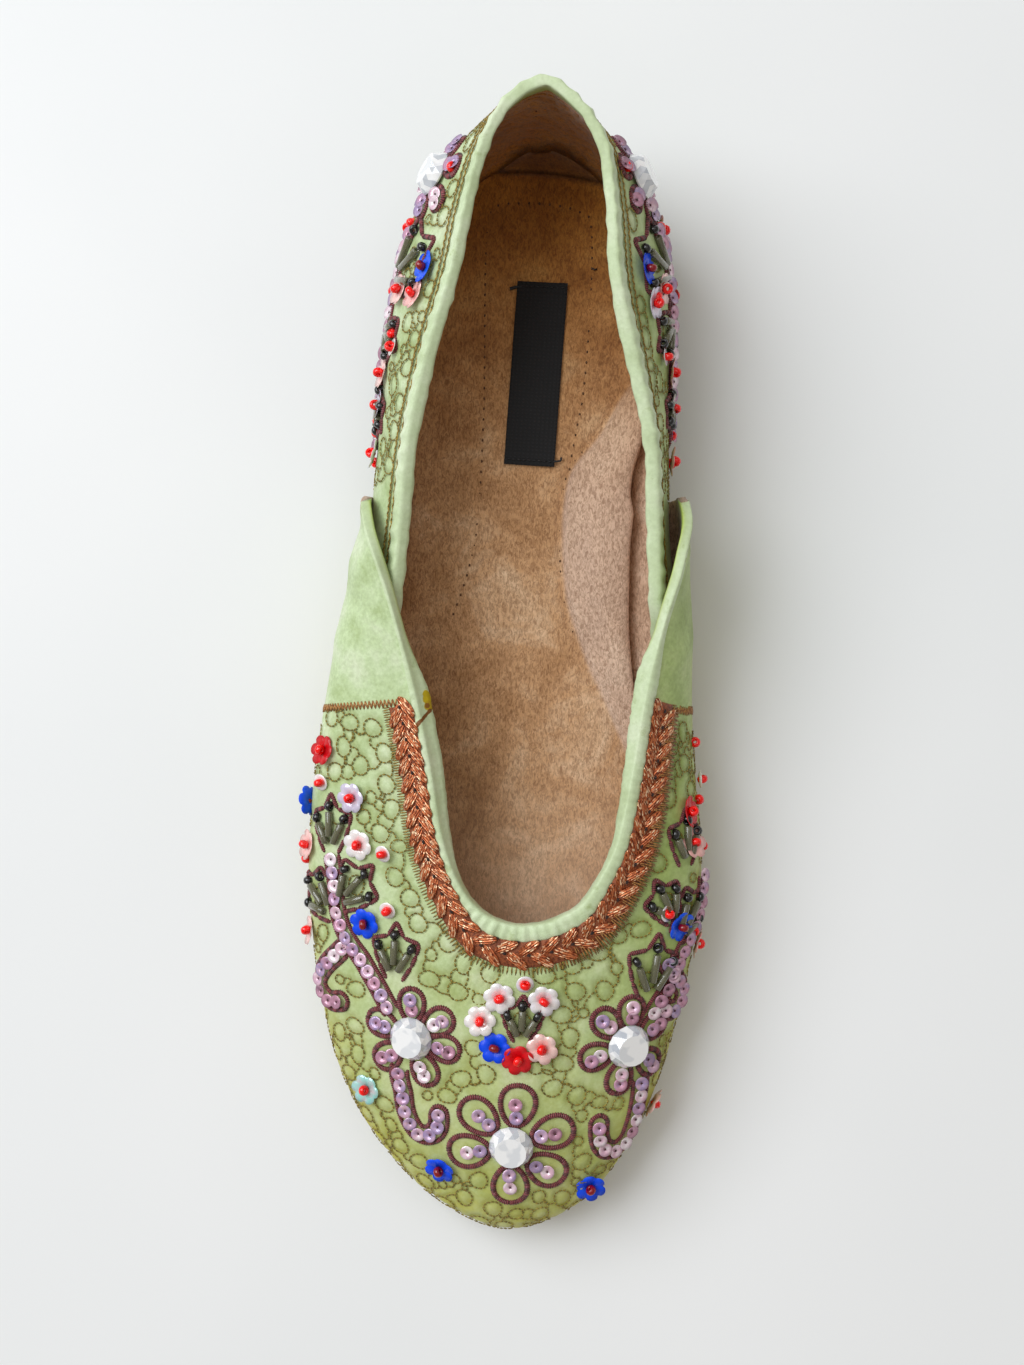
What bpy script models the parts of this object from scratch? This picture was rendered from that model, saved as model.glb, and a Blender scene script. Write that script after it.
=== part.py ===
# Right-foot beaded ballet flat: satin upper of a winged front piece over a back piece, bound and
# braided edges, sew-on stones, padded sock with an arch pad, thin outsole and a low heel block.
# Heel towards +Y, toe towards -Y, medial side towards +X, floor at Z = 0. Metres.

import math

import bmesh
import bpy
import numpy as np
from mathutils import Vector
from mathutils.bvhtree import BVHTree

MM = 0.001

LENGTH = 250 * MM
BALL_WIDTH = 90 * MM
THROAT_HEIGHT = 32 * MM
COLLAR_HEIGHT = 52 * MM
HEEL_HEIGHT = 8 * MM
TOE_SPRING = 4.5 * MM

WALL = 1.6 * MM
GAP = 0.3 * MM
SOLE_THICKNESS = 2.8 * MM
SOLE_MARGIN = 0.7 * MM
SOCK_THICKNESS = 2.6 * MM

HEEL_BREAST = 64 * MM
FLAT_BACK = -18 * MM
FLAT_FRONT = -76 * MM

THROAT_BINDING_WIDTH = 2.4 * MM
COLLAR_BINDING_WIDTH = 3.0 * MM
BINDING_THICKNESS = 0.8 * MM
BRAID_START = 2.8 * MM
BRAID_WIDTH = 5.2 * MM
BRAID_HEIGHT = 1.5 * MM

# Both tables run anticlockwise seen from above, one row for each section of the last.
# along: percent of LENGTH from the heel, across: percent of BALL_WIDTH from the middle line;
# wide: height of the widest line in percent of THROAT_HEIGHT;
# tuck: how far the wall draws in from there to the sole, in percent of BALL_WIDTH;
# edge_along, edge_across: the same measures for the top edge;
# rise: height of that edge in percent of the way from THROAT_HEIGHT to COLLAR_HEIGHT.

# Front piece: lateral wing, ball, toe, ball, medial wing.
VAMP = (
    # along, across, wide, tuck, edge_along, edge_across, rise
    (33.5, -40.0, 62, 8.0, 34.5, -38.5, -10),
    (38.0, -42.5, 62, 9.0, 38.0, -36.0, 18),
    (44.0, -46.0, 59, 8.5, 43.0, -31.0, 18),
    (51.5, -49.5, 56, 8.0, 50.5, -25.0, 6),
    (58.0, -52.0, 53, 7.0, 57.5, -20.5, 1),
    (65.5, -53.5, 47, 6.5, 63.2, -17.5, 0),
    (71.5, -53.0, 42, 6.0, 66.9, -14.0, -1),
    (79.0, -50.0, 38, 5.5, 69.1, -10.2, -1),
    (86.5, -44.0, 36, 5.0, 70.3, -6.5, -1),
    (92.5, -34.0, 36, 5.0, 70.9, -3.2, 0),
    (97.5, -19.0, 38, 5.0, 71.2, -0.2, 0),
    (100.0, -0.5, 39, 5.0, 71.3, 2.8, 0),
    (97.5, 17.5, 38, 5.0, 71.2, 6.0, 0),
    (92.0, 30.0, 36, 5.0, 70.9, 9.5, 0),
    (85.5, 37.5, 36, 5.0, 70.3, 13.2, -1),
    (78.5, 42.5, 38, 5.5, 69.3, 17.5, -1),
    (72.0, 45.5, 40, 6.0, 67.0, 21.8, -1),
    (65.5, 46.5, 42, 7.0, 63.5, 26.0, 0),
    (58.5, 44.5, 44, 10.0, 57.5, 29.0, 1),
    (52.0, 43.0, 47, 13.5, 51.0, 31.5, 6),
    (45.5, 42.5, 50, 15.5, 45.0, 35.0, 16),
    (40.0, 41.5, 56, 15.0, 40.0, 39.0, 20),
    (36.0, 40.5, 56, 14.0, 36.5, 40.0, 10),
    (33.0, 39.0, 56, 12.0, 34.0, 38.0, -10),
)

# Back piece: medial side under the wing, heel, lateral side under the wing.
QUARTER = (
    # along, across, wide, tuck, edge_along, edge_across, rise
    (48.0, 39.5, 50, 12.5, 47.0, 35.0, -40),
    (42.5, 38.0, 53, 12.3, 42.5, 34.0, -2),
    (36.0, 36.0, 53, 10.5, 36.0, 33.0, 15),
    (29.0, 35.3, 53, 8.3, 29.0, 31.5, 35),
    (22.0, 35.0, 56, 6.0, 22.0, 26.5, 55),
    (15.5, 34.5, 59, 5.0, 16.0, 22.5, 74),
    (10.5, 32.0, 62, 4.0, 10.5, 21.0, 86),
    (6.0, 27.0, 66, 3.5, 5.5, 18.5, 95),
    (2.0, 16.5, 69, 3.5, 2.0, 11.5, 99),
    (0.0, 1.0, 69, 3.5, 0.5, 4.0, 100),
    (2.0, -14.5, 69, 3.5, 2.0, -4.0, 99),
    (6.0, -26.0, 66, 3.5, 5.5, -9.5, 95),
    (11.0, -31.5, 62, 4.0, 10.5, -13.5, 86),
    (16.0, -34.5, 59, 4.5, 15.5, -16.5, 74),
    (22.5, -37.0, 56, 5.5, 22.5, -22.5, 55),
    (29.5, -38.0, 56, 6.0, 29.5, -27.0, 35),
    (36.5, -39.5, 56, 7.3, 36.5, -29.0, 15),
    (43.0, -41.0, 56, 5.0, 43.0, -31.0, -2),
    (48.5, -43.0, 53, 4.1, 48.0, -34.0, -40),
)

# How full each piece is: how far the wall climbs straight up from its widest line, how far
# before the top edge it starts to bend over, and how far below that edge it still is there.
VAMP_FULLNESS = (0.45, 0.50, 0.22)
QUARTER_FULLNESS = (0.50, 0.35, 0.32)
LOWER_SHARE = 0.25

# Facets between two rows of a table, and the rows from which to which the trims run.
CUTS_PER_ROW = 3
THROAT_TRIM = (3.25, 19)
BRAID_PITCH = 4 * MM
BINDING_FACET = 3 * MM
COLLAR_TRIM = (0.4, 17.4)

TOP_STONES = (
    # name, x, y in plan
    ("stone_toe", 1.4 * MM, -103 * MM),
    ("stone_vamp_lateral", -21.5 * MM, -79.8 * MM),
    ("stone_vamp_medial", 26.6 * MM, -79.5 * MM),
)
SIDE_STONES = (
    # name, side, y, z
    ("stone_heel_lateral", -1, 109 * MM, 36 * MM),
    ("stone_heel_medial", 1, 108.5 * MM, 36 * MM),
)
STONE_RADIUS = 5 * MM
STONE_HEIGHT = 3.2 * MM
STONE_TABLE = 2.9 * MM

LABEL_LENGTH = 42 * MM
LABEL_WIDTH = 11.6 * MM
LABEL_THICKNESS = 0.5 * MM
LABEL_PLACE = (0.9 * MM, 71 * MM)
LABEL_TURN = math.radians(-2.6)

PAD_HEIGHT = 4.5 * MM
PAD_MIDDLE = 38 * MM
PAD_EDGE = 7.8 * MM
PAD_SPREAD = 4.8
PAD_SLOPE = 7 * MM
CUP_HEIGHT = 1.2 * MM


def smooth_step(x):
    x = min(max(x, 0.0), 1.0)
    return x * x * (3 - 2 * x)


def to_metres(table):
    share = np.array(table) / 100
    rows = share.copy()
    rows[:, 0] = share[:, 1] * BALL_WIDTH
    rows[:, 1] = (0.5 - share[:, 0]) * LENGTH
    rows[:, 2] = share[:, 2] * THROAT_HEIGHT
    rows[:, 3] = share[:, 3] * BALL_WIDTH
    rows[:, 4] = share[:, 5] * BALL_WIDTH
    rows[:, 5] = (0.5 - share[:, 4]) * LENGTH
    rows[:, 6] = THROAT_HEIGHT + share[:, 6] * (COLLAR_HEIGHT - THROAT_HEIGHT)
    return rows


def row_at(rows, t):
    # Catmull-Rom curve through the rows, with t counted in rows.
    i = min(max(int(t), 0), len(rows) - 2)
    f = t - i
    a, b, c, d = (rows[min(max(i + k, 0), len(rows) - 1)] for k in (-1, 0, 1, 2))
    curve = 2 * b + (c - a) * f + (2 * a - 5 * b + 4 * c - d) * f**2
    return (curve + (3 * b - a - 3 * c + d) * f**3) / 2


def sole_bottom(y):
    if y >= FLAT_BACK:
        return HEEL_HEIGHT * smooth_step((y - FLAT_BACK) / (HEEL_BREAST - FLAT_BACK))
    if y >= FLAT_FRONT:
        return 0.0
    return TOE_SPRING * ((FLAT_FRONT - y) / (FLAT_FRONT + LENGTH / 2)) ** 2


def sole_top(y):
    return sole_bottom(y) + SOLE_THICKNESS


def sock_top(x, y, u):
    # The sock lies level across the sole, with a raised arch pad and a slightly cupped heel.
    pad_start = PAD_EDGE + PAD_SPREAD * (y - PAD_MIDDLE) ** 2
    pad = PAD_HEIGHT * smooth_step((x - pad_start) / PAD_SLOPE) * (1 - 0.4 * u**6)
    pad *= smooth_step((y + 35 * MM) / (30 * MM)) * smooth_step((90 * MM - y) / (30 * MM))
    cup = CUP_HEIGHT * u**6 * smooth_step(y / (60 * MM))
    return sole_top(y) + GAP + SOCK_THICKNESS + pad + cup


class Panel:
    # One piece of the upper. Its outer face is point(t, v): t runs along the rows of its table,
    # and v from the feather line at the sole (0) to the top edge (1).

    def __init__(self, table, fullness):
        self.rows = to_metres(table)
        self.fullness = fullness
        self.last = len(table) - 1

    def guides(self, t):
        x, y, wide, tuck, edge_x, edge_y, edge_z = row_at(self.rows, t)
        ahead = row_at(self.rows, min(t + 0.05, self.last))
        behind = row_at(self.rows, max(t - 0.05, 0))
        run = Vector(ahead[:2] - behind[:2]).normalized()
        widest = Vector((x, y, wide))
        feather = widest + Vector((-run.y, run.x, 0)) * tuck
        feather.z = sole_top(feather.y) + GAP
        return feather, widest, Vector((edge_x, edge_y, edge_z))

    def point(self, t, v):
        feather, widest, edge = self.guides(t)
        if v < LOWER_SHARE:
            s = v / LOWER_SHARE
            bend = Vector((widest.x, widest.y, 0.45 * widest.z + 0.55 * feather.z))
            return feather * (1 - s) ** 2 + bend * 2 * s * (1 - s) + widest * s**2
        s = (v - LOWER_SHARE) / (1 - LOWER_SHARE)
        lift, reach, drop = self.fullness
        climb = Vector((0, 0, edge.z - widest.z))
        inward = edge - widest - climb
        first = widest + climb * lift
        second = edge - inward * reach - climb * drop
        lower = widest * (1 - s) ** 3 + first * 3 * s * (1 - s) ** 2
        return lower + second * 3 * s**2 * (1 - s) + edge * s**3

    def normal(self, t, v):
        along = self.point(min(t + 0.02, self.last), v) - self.point(max(t - 0.02, 0), v)
        upward = self.point(t, min(v + 0.01, 1)) - self.point(t, max(v - 0.01, 0))
        return along.cross(upward).normalized()

    def below_edge(self, t, distance):
        # Point and normal at a distance below the top edge, measured along the outer face.
        # A negative distance goes on past the edge.
        edge = self.point(t, 1)
        if distance <= 0:
            onward = (edge - self.point(t, 0.98)).normalized()
            return edge - onward * distance, self.normal(t, 1)
        here = edge
        v = 1.0
        while v > 0:
            there = self.point(t, v - 0.01)
            stride = (there - here).length
            if stride > distance:
                v -= 0.01 * distance / stride
                return self.point(t, v), self.normal(t, v)
            distance -= stride
            here = there
            v -= 0.01
        return here, self.normal(t, 0)


vamp = Panel(VAMP, VAMP_FULLNESS)
quarter = Panel(QUARTER, QUARTER_FULLNESS)


def clear_scene():
    for obj in list(bpy.data.objects):
        bpy.data.objects.remove(obj, do_unlink=True)


def make_collection(name):
    collection = bpy.data.collections.new(name)
    bpy.context.scene.collection.children.link(collection)
    return collection


def make_material(name, colour, roughness, metallic=0.0):
    material = bpy.data.materials.new(name)
    material.use_nodes = True
    shader = material.node_tree.nodes["Principled BSDF"]
    shader.inputs["Base Color"].default_value = (*colour, 1)
    shader.inputs["Roughness"].default_value = roughness
    shader.inputs["Metallic"].default_value = metallic
    return material


def make_object(name, bm, material, collection):
    mesh = bpy.data.meshes.new(name)
    bm.to_mesh(mesh)
    bm.free()
    mesh.shade_smooth()
    mesh.set_sharp_from_angle(angle=math.radians(40))
    obj = bpy.data.objects.new(name, mesh)
    obj.data.materials.append(material)
    collection.objects.link(obj)
    return obj


def add_solidify(obj, thickness, offset):
    wall = obj.modifiers.new("Wall", "SOLIDIFY")
    wall.thickness = thickness
    wall.offset = offset
    wall.use_even_offset = True


def add_bevel(obj, width):
    bevel = obj.modifiers.new("Rim", "BEVEL")
    bevel.width = width
    bevel.segments = 1
    bevel.limit_method = "ANGLE"
    bevel.angle_limit = math.radians(60)


def make_shell(name, panel, heights, material, collection):
    # Open outer face of the panel, given its wall on the inside.
    bm = bmesh.new()
    cuts = panel.last * CUTS_PER_ROW
    bmesh.ops.create_grid(bm, x_segments=cuts, y_segments=heights, size=1)
    for vert in bm.verts:
        t = (vert.co.x + 1) / 2 * panel.last
        v = (vert.co.y + 1) / 2
        vert.co = panel.point(t, v)
    obj = make_object(name, bm, material, collection)
    add_solidify(obj, WALL, -1)
    return obj


def make_upper(material, parts, cutters):
    upper = make_shell("upper", vamp, 11, material, parts)
    back = make_shell("quarter_shell", quarter, 9, material, cutters)
    back.hide_render = True
    back.display_type = "WIRE"
    join = upper.modifiers.new("Join", "BOOLEAN")
    join.operation = "UNION"
    join.object = back
    return upper


def even_stations(panel, span, count):
    # Rows between which the panel's top edge has equal lengths.
    fine = np.linspace(span[0], span[1], 40 * CUTS_PER_ROW)
    edge = [panel.point(t, 1) for t in fine]
    walked = np.cumsum([0] + [(b - a).length for a, b in zip(edge, edge[1:])])
    return np.interp(np.linspace(0, walked[-1], count + 1), walked, fine), walked[-1]


def make_strip(name, panel, span, facet, ring, material, collection):
    # Closed strip along the panel's top edge. ring(i) gives the section at station i as pairs
    # of distance below the edge and height over the outer face.
    length = even_stations(panel, span, 1)[1]
    cuts = round(length / facet)
    stations, _ = even_stations(panel, span, cuts)
    sides = len(ring(0))
    bm = bmesh.new()
    bmesh.ops.create_grid(bm, x_segments=cuts, y_segments=sides, size=1)
    for vert in bm.verts:
        i = round((vert.co.x + 1) / 2 * cuts)
        side = round((vert.co.y + 1) / 2 * sides) % sides
        distance, lift = ring(i)[side]
        base, normal = panel.below_edge(stations[i], distance)
        vert.co = base + normal * lift
    bmesh.ops.remove_doubles(bm, verts=bm.verts[:], dist=0.01 * MM)
    bmesh.ops.holes_fill(bm, edges=[edge for edge in bm.edges if edge.is_boundary])
    bmesh.ops.recalc_face_normals(bm, faces=bm.faces[:])
    return make_object(name, bm, material, collection)


def binding_ring(width):
    # Folded strip of satin over the edge: outer leg, rounded crown, shorter inner leg.
    crown = GAP + BINDING_THICKNESS
    inside = -WALL - GAP
    lining = -WALL - crown
    return (
        (width, GAP),
        (width * 0.9, crown * 0.75),
        (width * 0.55, crown),
        (width * 0.1, crown),
        (-crown * 0.8, crown * 0.3),
        (-crown, -WALL / 2),
        (-crown * 0.8, -WALL - crown * 0.3),
        (width * 0.1, lining),
        (width * 0.55, lining * 0.93),
        (width * 0.6, inside),
        (-GAP, inside),
        (-GAP, GAP),
    )


def braid_ring(i):
    # Flat plait: two rows of strands that rise in turn, with a groove between them.
    swing = 0.2 * math.cos(i * math.pi)
    across = (0, 0.1, 0.3, 0.5, 0.7, 0.9, 1)
    height = (0, 0.6, 0.8 + swing, 0.6, 0.8 - swing, 0.6, 0)
    return [(BRAID_START + BRAID_WIDTH * a, GAP + BRAID_HEIGHT * h) for a, h in zip(across, height)]


def outer_loop():
    # Feather line all round: the front piece where it is outermost, and the back piece behind.
    cuts = 150
    front = [vamp.guides(vamp.last * k / cuts)[0] for k in range(1, cuts)]
    back = [quarter.guides(quarter.last * k / cuts)[0] for k in range(cuts + 1)]
    wing_end = max(front[0].y, front[-1].y)
    return front + [point for point in back if point.y > wing_end + 2 * MM]


def grow_loop(loop, distance):
    # Moves the points of an anticlockwise loop outward by distance(y). It returns the lateral
    # and the medial side as arrays of x and y, both from toe to heel.
    moved = []
    for i, point in enumerate(loop):
        run = loop[(i + 1) % len(loop)] - loop[i - 1]
        out = Vector((run.y, -run.x)).normalized() * distance(point.y)
        moved.append((point.x + out.x, point.y + out.y))
    toe = min(range(len(moved)), key=lambda i: moved[i][1])
    moved = moved[toe:] + moved[: toe + 1]
    heel = max(range(len(moved)), key=lambda i: moved[i][1])
    medial = sorted(moved[: heel + 1], key=lambda place: place[1])
    lateral = sorted(moved[heel:], key=lambda place: place[1])
    return np.array(lateral), np.array(medial)


def sock_inset(y):
    # The sock stops short of the wall, and of the doubled wall where the wings lap over.
    doubled = smooth_step((y + 12 * MM) / (8 * MM)) * smooth_step((56 * MM - y) / (8 * MM))
    return -(WALL + 1.5 * GAP + 1.2 * MM * doubled)


def make_plate(name, sides, breast, cuts, bottom, top, material, collection):
    # Plate between two heights, inside the plan outline. It reaches from the toe, or from the
    # straight breast line if there is one, to the heel. u is -1 and 1 on its two rims.
    lateral, medial = sides
    toe = lateral[0, 1] + GAP
    heel = lateral[-1, 1] - GAP
    bm = bmesh.new()
    across = bm.verts.layers.float.new("across")
    bmesh.ops.create_grid(bm, x_segments=cuts[0], y_segments=cuts[1], size=1)
    for vert in bm.verts:
        u, w, _ = vert.co
        if breast is None:
            y = (toe + heel) / 2 + (heel - toe) / 2 * math.sin(w * math.pi / 2)
        else:
            y = breast + (heel - breast) * math.sin((w + 1) * math.pi / 4)
        left = np.interp(y, lateral[:, 1], lateral[:, 0])
        right = np.interp(y, medial[:, 1], medial[:, 0])
        x = (left + right) / 2 + (right - left) / 2 * u
        vert[across] = u
        vert.co = (x, y, bottom(x, y))
    grown = bmesh.ops.extrude_face_region(bm, geom=bm.faces[:])
    for item in grown["geom"]:
        if isinstance(item, bmesh.types.BMVert):
            item.co.z = top(item.co.x, item.co.y, item[across])
    bmesh.ops.recalc_face_normals(bm, faces=bm.faces[:])
    return make_object(name, bm, material, collection)


def make_outsole(loop, material, parts):
    sides = grow_loop(loop, lambda y: SOLE_MARGIN)
    outsole = make_plate(
        "outsole", sides, None, (4, 44),
        lambda x, y: sole_bottom(y), lambda x, y, u: sole_top(y),
        material, parts,
    )
    add_bevel(outsole, 0.6 * MM)


def make_heel(loop, material, parts):
    sides = grow_loop(loop, lambda y: SOLE_MARGIN - 0.5 * MM)
    heel = make_plate(
        "heel", sides, HEEL_BREAST + 0.5 * MM, (4, 14),
        lambda x, y: 0.0, lambda x, y, u: HEEL_HEIGHT - GAP,
        material, parts,
    )
    add_bevel(heel, 0.8 * MM)


def make_sock(loop, material, parts):
    sides = grow_loop(loop, sock_inset)
    make_plate(
        "insole", sides, None, (12, 44),
        lambda x, y: sole_top(y) + GAP, sock_top,
        material, parts,
    )


def make_label(material, parts):
    # Woven label that follows the sock.
    bm = bmesh.new()
    bmesh.ops.create_grid(bm, x_segments=2, y_segments=10, size=1)
    cos, sin = math.cos(LABEL_TURN), math.sin(LABEL_TURN)
    for vert in bm.verts:
        across = vert.co.x * LABEL_WIDTH / 2
        along = vert.co.y * LABEL_LENGTH / 2
        x = LABEL_PLACE[0] + across * cos - along * sin
        y = LABEL_PLACE[1] + across * sin + along * cos
        vert.co = (x, y, sock_top(x, y, 0) + GAP)
    label = make_object("label", bm, material, parts)
    add_solidify(label, LABEL_THICKNESS, 1)


def make_stone(name, seat, normal, material, parts):
    # Round flat-backed stone: a turned girdle, crown and table.
    bm = bmesh.new()
    outline = ((0, 0), (1, 0), (1, 0.3), (STONE_TABLE / STONE_RADIUS, 0.95), (0, 1))
    profile = [bm.verts.new((r * STONE_RADIUS, 0, z * STONE_HEIGHT)) for r, z in outline]
    for lower, upper in zip(profile, profile[1:]):
        bm.edges.new((lower, upper))
    bmesh.ops.spin(
        bm, geom=bm.verts[:] + bm.edges[:], cent=(0, 0, 0), axis=(0, 0, 1),
        angle=math.tau, steps=14, use_merge=True,
    )
    bmesh.ops.remove_doubles(bm, verts=bm.verts[:], dist=0.01 * MM)
    bmesh.ops.recalc_face_normals(bm, faces=bm.faces[:])
    stone = make_object(name, bm, material, parts)
    stone.location = seat + normal * GAP
    stone.rotation_mode = "QUATERNION"
    stone.rotation_quaternion = normal.to_track_quat("Z", "Y")


def make_stones(upper, material, parts):
    depsgraph = bpy.context.evaluated_depsgraph_get()
    surface = BVHTree.FromObject(upper, depsgraph)
    for name, x, y in TOP_STONES:
        seat, normal, _, _ = surface.ray_cast(Vector((x, y, 1)), Vector((0, 0, -1)))
        make_stone(name, seat, normal, material, parts)
    for name, side, y, z in SIDE_STONES:
        seat, normal, _, _ = surface.ray_cast(Vector((side, y, z)), Vector((-side, 0, 0)))
        make_stone(name, seat, normal, material, parts)


def centre_on_floor(parts):
    # Moves the shoe so that the origin is under the middle of its bounding box.
    bpy.context.view_layer.update()
    depsgraph = bpy.context.evaluated_depsgraph_get()
    corners = []
    for obj in parts.objects:
        shape = obj.evaluated_get(depsgraph)
        corners += [shape.matrix_world @ vert.co for vert in shape.data.vertices]
    corners = np.array(corners)
    low, high = corners.min(axis=0), corners.max(axis=0)
    shift = Vector((-(low[0] + high[0]) / 2, -(low[1] + high[1]) / 2, -low[2]))
    for obj in parts.objects:
        obj.location += shift


def build():
    clear_scene()
    parts = make_collection("beaded_ballet_flat")
    cutters = make_collection("cutters")
    satin = make_material("embroidered_satin", (0.42, 0.58, 0.22), 0.55)
    binding = make_material("binding_satin", (0.48, 0.63, 0.30), 0.5)
    braid = make_material("copper_braid", (0.55, 0.22, 0.10), 0.4, 0.8)
    suede = make_material("tan_microsuede", (0.43, 0.25, 0.15), 0.9)
    rubber = make_material("sole_rubber", (0.10, 0.07, 0.05), 0.7)
    stacked = make_material("heel_rubber", (0.07, 0.05, 0.04), 0.7)
    woven = make_material("woven_label", (0.01, 0.01, 0.01), 0.8)
    acrylic = make_material("clear_acrylic", (0.85, 0.87, 0.88), 0.05)

    loop = outer_loop()
    make_outsole(loop, rubber, parts)
    make_heel(loop, stacked, parts)
    make_sock(loop, suede, parts)
    make_label(woven, parts)
    upper = make_upper(satin, parts, cutters)
    make_stones(upper, acrylic, parts)
    for name, panel, span, width in (
        ("throat_binding", vamp, THROAT_TRIM, THROAT_BINDING_WIDTH),
        ("collar_binding", quarter, COLLAR_TRIM, COLLAR_BINDING_WIDTH),
    ):
        ring = binding_ring(width)
        make_strip(name, panel, span, BINDING_FACET, lambda i: ring, binding, parts)
    make_strip("throat_braid", vamp, THROAT_TRIM, BRAID_PITCH / 2, braid_ring, braid, parts)
    back_shell = cutters.objects["quarter_shell"]
    centre_on_floor(parts)
    back_shell.location = upper.location


build()
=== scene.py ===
# Beaded ballet flat, right foot. Heel towards +Y, toe towards -Y, inner side towards +X.
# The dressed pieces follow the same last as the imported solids. Tables of places are in millimetres.
import math
import random

import bmesh
import bpy
import numpy as np
from mathutils import Matrix, Vector
from mathutils.bvhtree import BVHTree
from mathutils.kdtree import KDTree


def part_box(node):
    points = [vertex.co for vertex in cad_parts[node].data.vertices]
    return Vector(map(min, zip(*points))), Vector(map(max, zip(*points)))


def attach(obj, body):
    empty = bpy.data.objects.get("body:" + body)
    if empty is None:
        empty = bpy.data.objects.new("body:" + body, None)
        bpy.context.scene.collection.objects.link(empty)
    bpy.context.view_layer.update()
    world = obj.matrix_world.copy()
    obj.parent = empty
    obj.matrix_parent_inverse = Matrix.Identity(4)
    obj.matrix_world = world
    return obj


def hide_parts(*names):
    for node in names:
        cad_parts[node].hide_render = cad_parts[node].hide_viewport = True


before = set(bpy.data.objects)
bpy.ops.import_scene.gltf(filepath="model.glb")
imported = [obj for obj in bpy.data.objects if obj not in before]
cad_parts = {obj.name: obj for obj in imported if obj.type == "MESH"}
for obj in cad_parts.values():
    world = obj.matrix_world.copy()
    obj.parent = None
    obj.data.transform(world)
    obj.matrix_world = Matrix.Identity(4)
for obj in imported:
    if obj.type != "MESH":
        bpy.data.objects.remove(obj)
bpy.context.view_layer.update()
mm = 0.001
chance = random.Random(7)

lastShape = dict(
    length=250, ballWidth=90, throatHeight=32, collarHeight=52, heelHeight=8, toeSpring=4.5,
    wall=1.6, gap=0.3, soleThickness=2.8, sockThickness=2.6, heelBreast=64, flatBack=-18, flatFront=-76,
    lowerShare=0.25, bendShare=0.45,  # height of the widest line, and of the bend under it, as shares
    leanFade=(1.5, 1.8),  # rows over which the first and the last section's lean dies out
)

# along, across, wide, tuck, edgeAlong, edgeAcross, rise: percent of the sizes above
vampRows = (
    (33.5, -40.0, 62, 8.0, 34.5, -38.5, -10), (38.0, -42.5, 62, 9.0, 38.0, -36.0, 18),
    (44.0, -46.0, 59, 8.5, 43.0, -31.0, 18), (51.5, -49.5, 56, 8.0, 50.5, -25.0, 6),
    (58.0, -52.0, 53, 7.0, 57.5, -20.5, 1), (65.5, -53.5, 47, 6.5, 63.2, -17.5, 0),
    (71.5, -53.0, 42, 6.0, 66.9, -14.0, -1), (79.0, -50.0, 38, 5.5, 69.1, -10.2, -1),
    (86.5, -44.0, 36, 5.0, 70.3, -6.5, -1), (92.5, -34.0, 36, 5.0, 70.9, -3.2, 0),
    (97.5, -19.0, 38, 5.0, 71.2, -0.2, 0), (100.0, -0.5, 39, 5.0, 71.3, 2.8, 0),
    (97.5, 17.5, 38, 5.0, 71.2, 6.0, 0), (92.0, 30.0, 36, 5.0, 70.9, 9.5, 0),
    (85.5, 37.5, 36, 5.0, 70.3, 13.2, -1), (78.5, 42.5, 38, 5.5, 69.3, 17.5, -1),
    (72.0, 45.5, 40, 6.0, 67.0, 21.8, -1), (65.5, 46.5, 42, 7.0, 63.5, 26.0, 0),
    (58.5, 44.5, 44, 10.0, 57.5, 29.0, 1), (52.0, 43.0, 47, 13.5, 51.0, 31.5, 6),
    (45.5, 42.5, 50, 15.5, 45.0, 35.0, 16), (40.0, 41.5, 56, 15.0, 40.0, 39.0, 20),
    (36.0, 40.5, 56, 14.0, 36.5, 40.0, 10), (33.0, 39.0, 56, 12.0, 34.0, 38.0, -10),
)
quarterRows = (
    (48.0, 39.5, 50, 12.5, 47.0, 35.0, -40), (42.5, 38.0, 53, 12.3, 42.5, 34.0, -2),
    (36.0, 36.0, 53, 10.5, 36.0, 33.0, 15), (29.0, 35.3, 53, 8.3, 29.0, 31.5, 35),
    (22.0, 35.0, 56, 6.0, 22.0, 26.5, 55), (15.5, 34.5, 59, 5.0, 16.0, 22.5, 74),
    (10.5, 32.0, 62, 4.0, 10.5, 21.0, 86), (6.0, 27.0, 66, 3.5, 5.5, 18.5, 95),
    (2.0, 16.5, 69, 3.5, 2.0, 11.5, 99), (0.0, 1.0, 69, 3.5, 0.5, 4.0, 100),
    (2.0, -14.5, 69, 3.5, 2.0, -4.0, 99), (6.0, -26.0, 66, 3.5, 5.5, -9.5, 95),
    (11.0, -31.5, 62, 4.0, 10.5, -13.5, 86), (16.0, -34.5, 59, 4.5, 15.5, -16.5, 74),
    (22.5, -37.0, 56, 5.5, 22.5, -22.5, 55), (29.5, -38.0, 56, 6.0, 29.5, -27.0, 35),
    (36.5, -39.5, 56, 7.3, 36.5, -29.0, 15), (43.0, -41.0, 56, 5.0, 43.0, -31.0, -2),
    (48.5, -43.0, 53, 4.1, 48.0, -34.0, -40),
)


def smoothStep(x):
    x = np.clip(x, 0.0, 1.0)
    return x * x * (3 - 2 * x)


def within(x, start, rise, end, fall):  # 0 outside start and end, 1 well between them
    return smoothStep((x - start) / rise) * smoothStep((end - x) / fall)


def bell(x, wide):
    return np.exp(-(x / wide) ** 2)


def walkedAlong(line):  # how far each point of a line is from its start, along the line
    return np.concatenate([[0], np.cumsum(np.linalg.norm(np.diff(line, axis=0), axis=1))])


def pointsAt(want, walked, line):  # the points of a line at the wanted distances
    return np.stack([np.interp(want, walked, line[:, axis]) for axis in range(3)], axis=-1)


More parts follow.
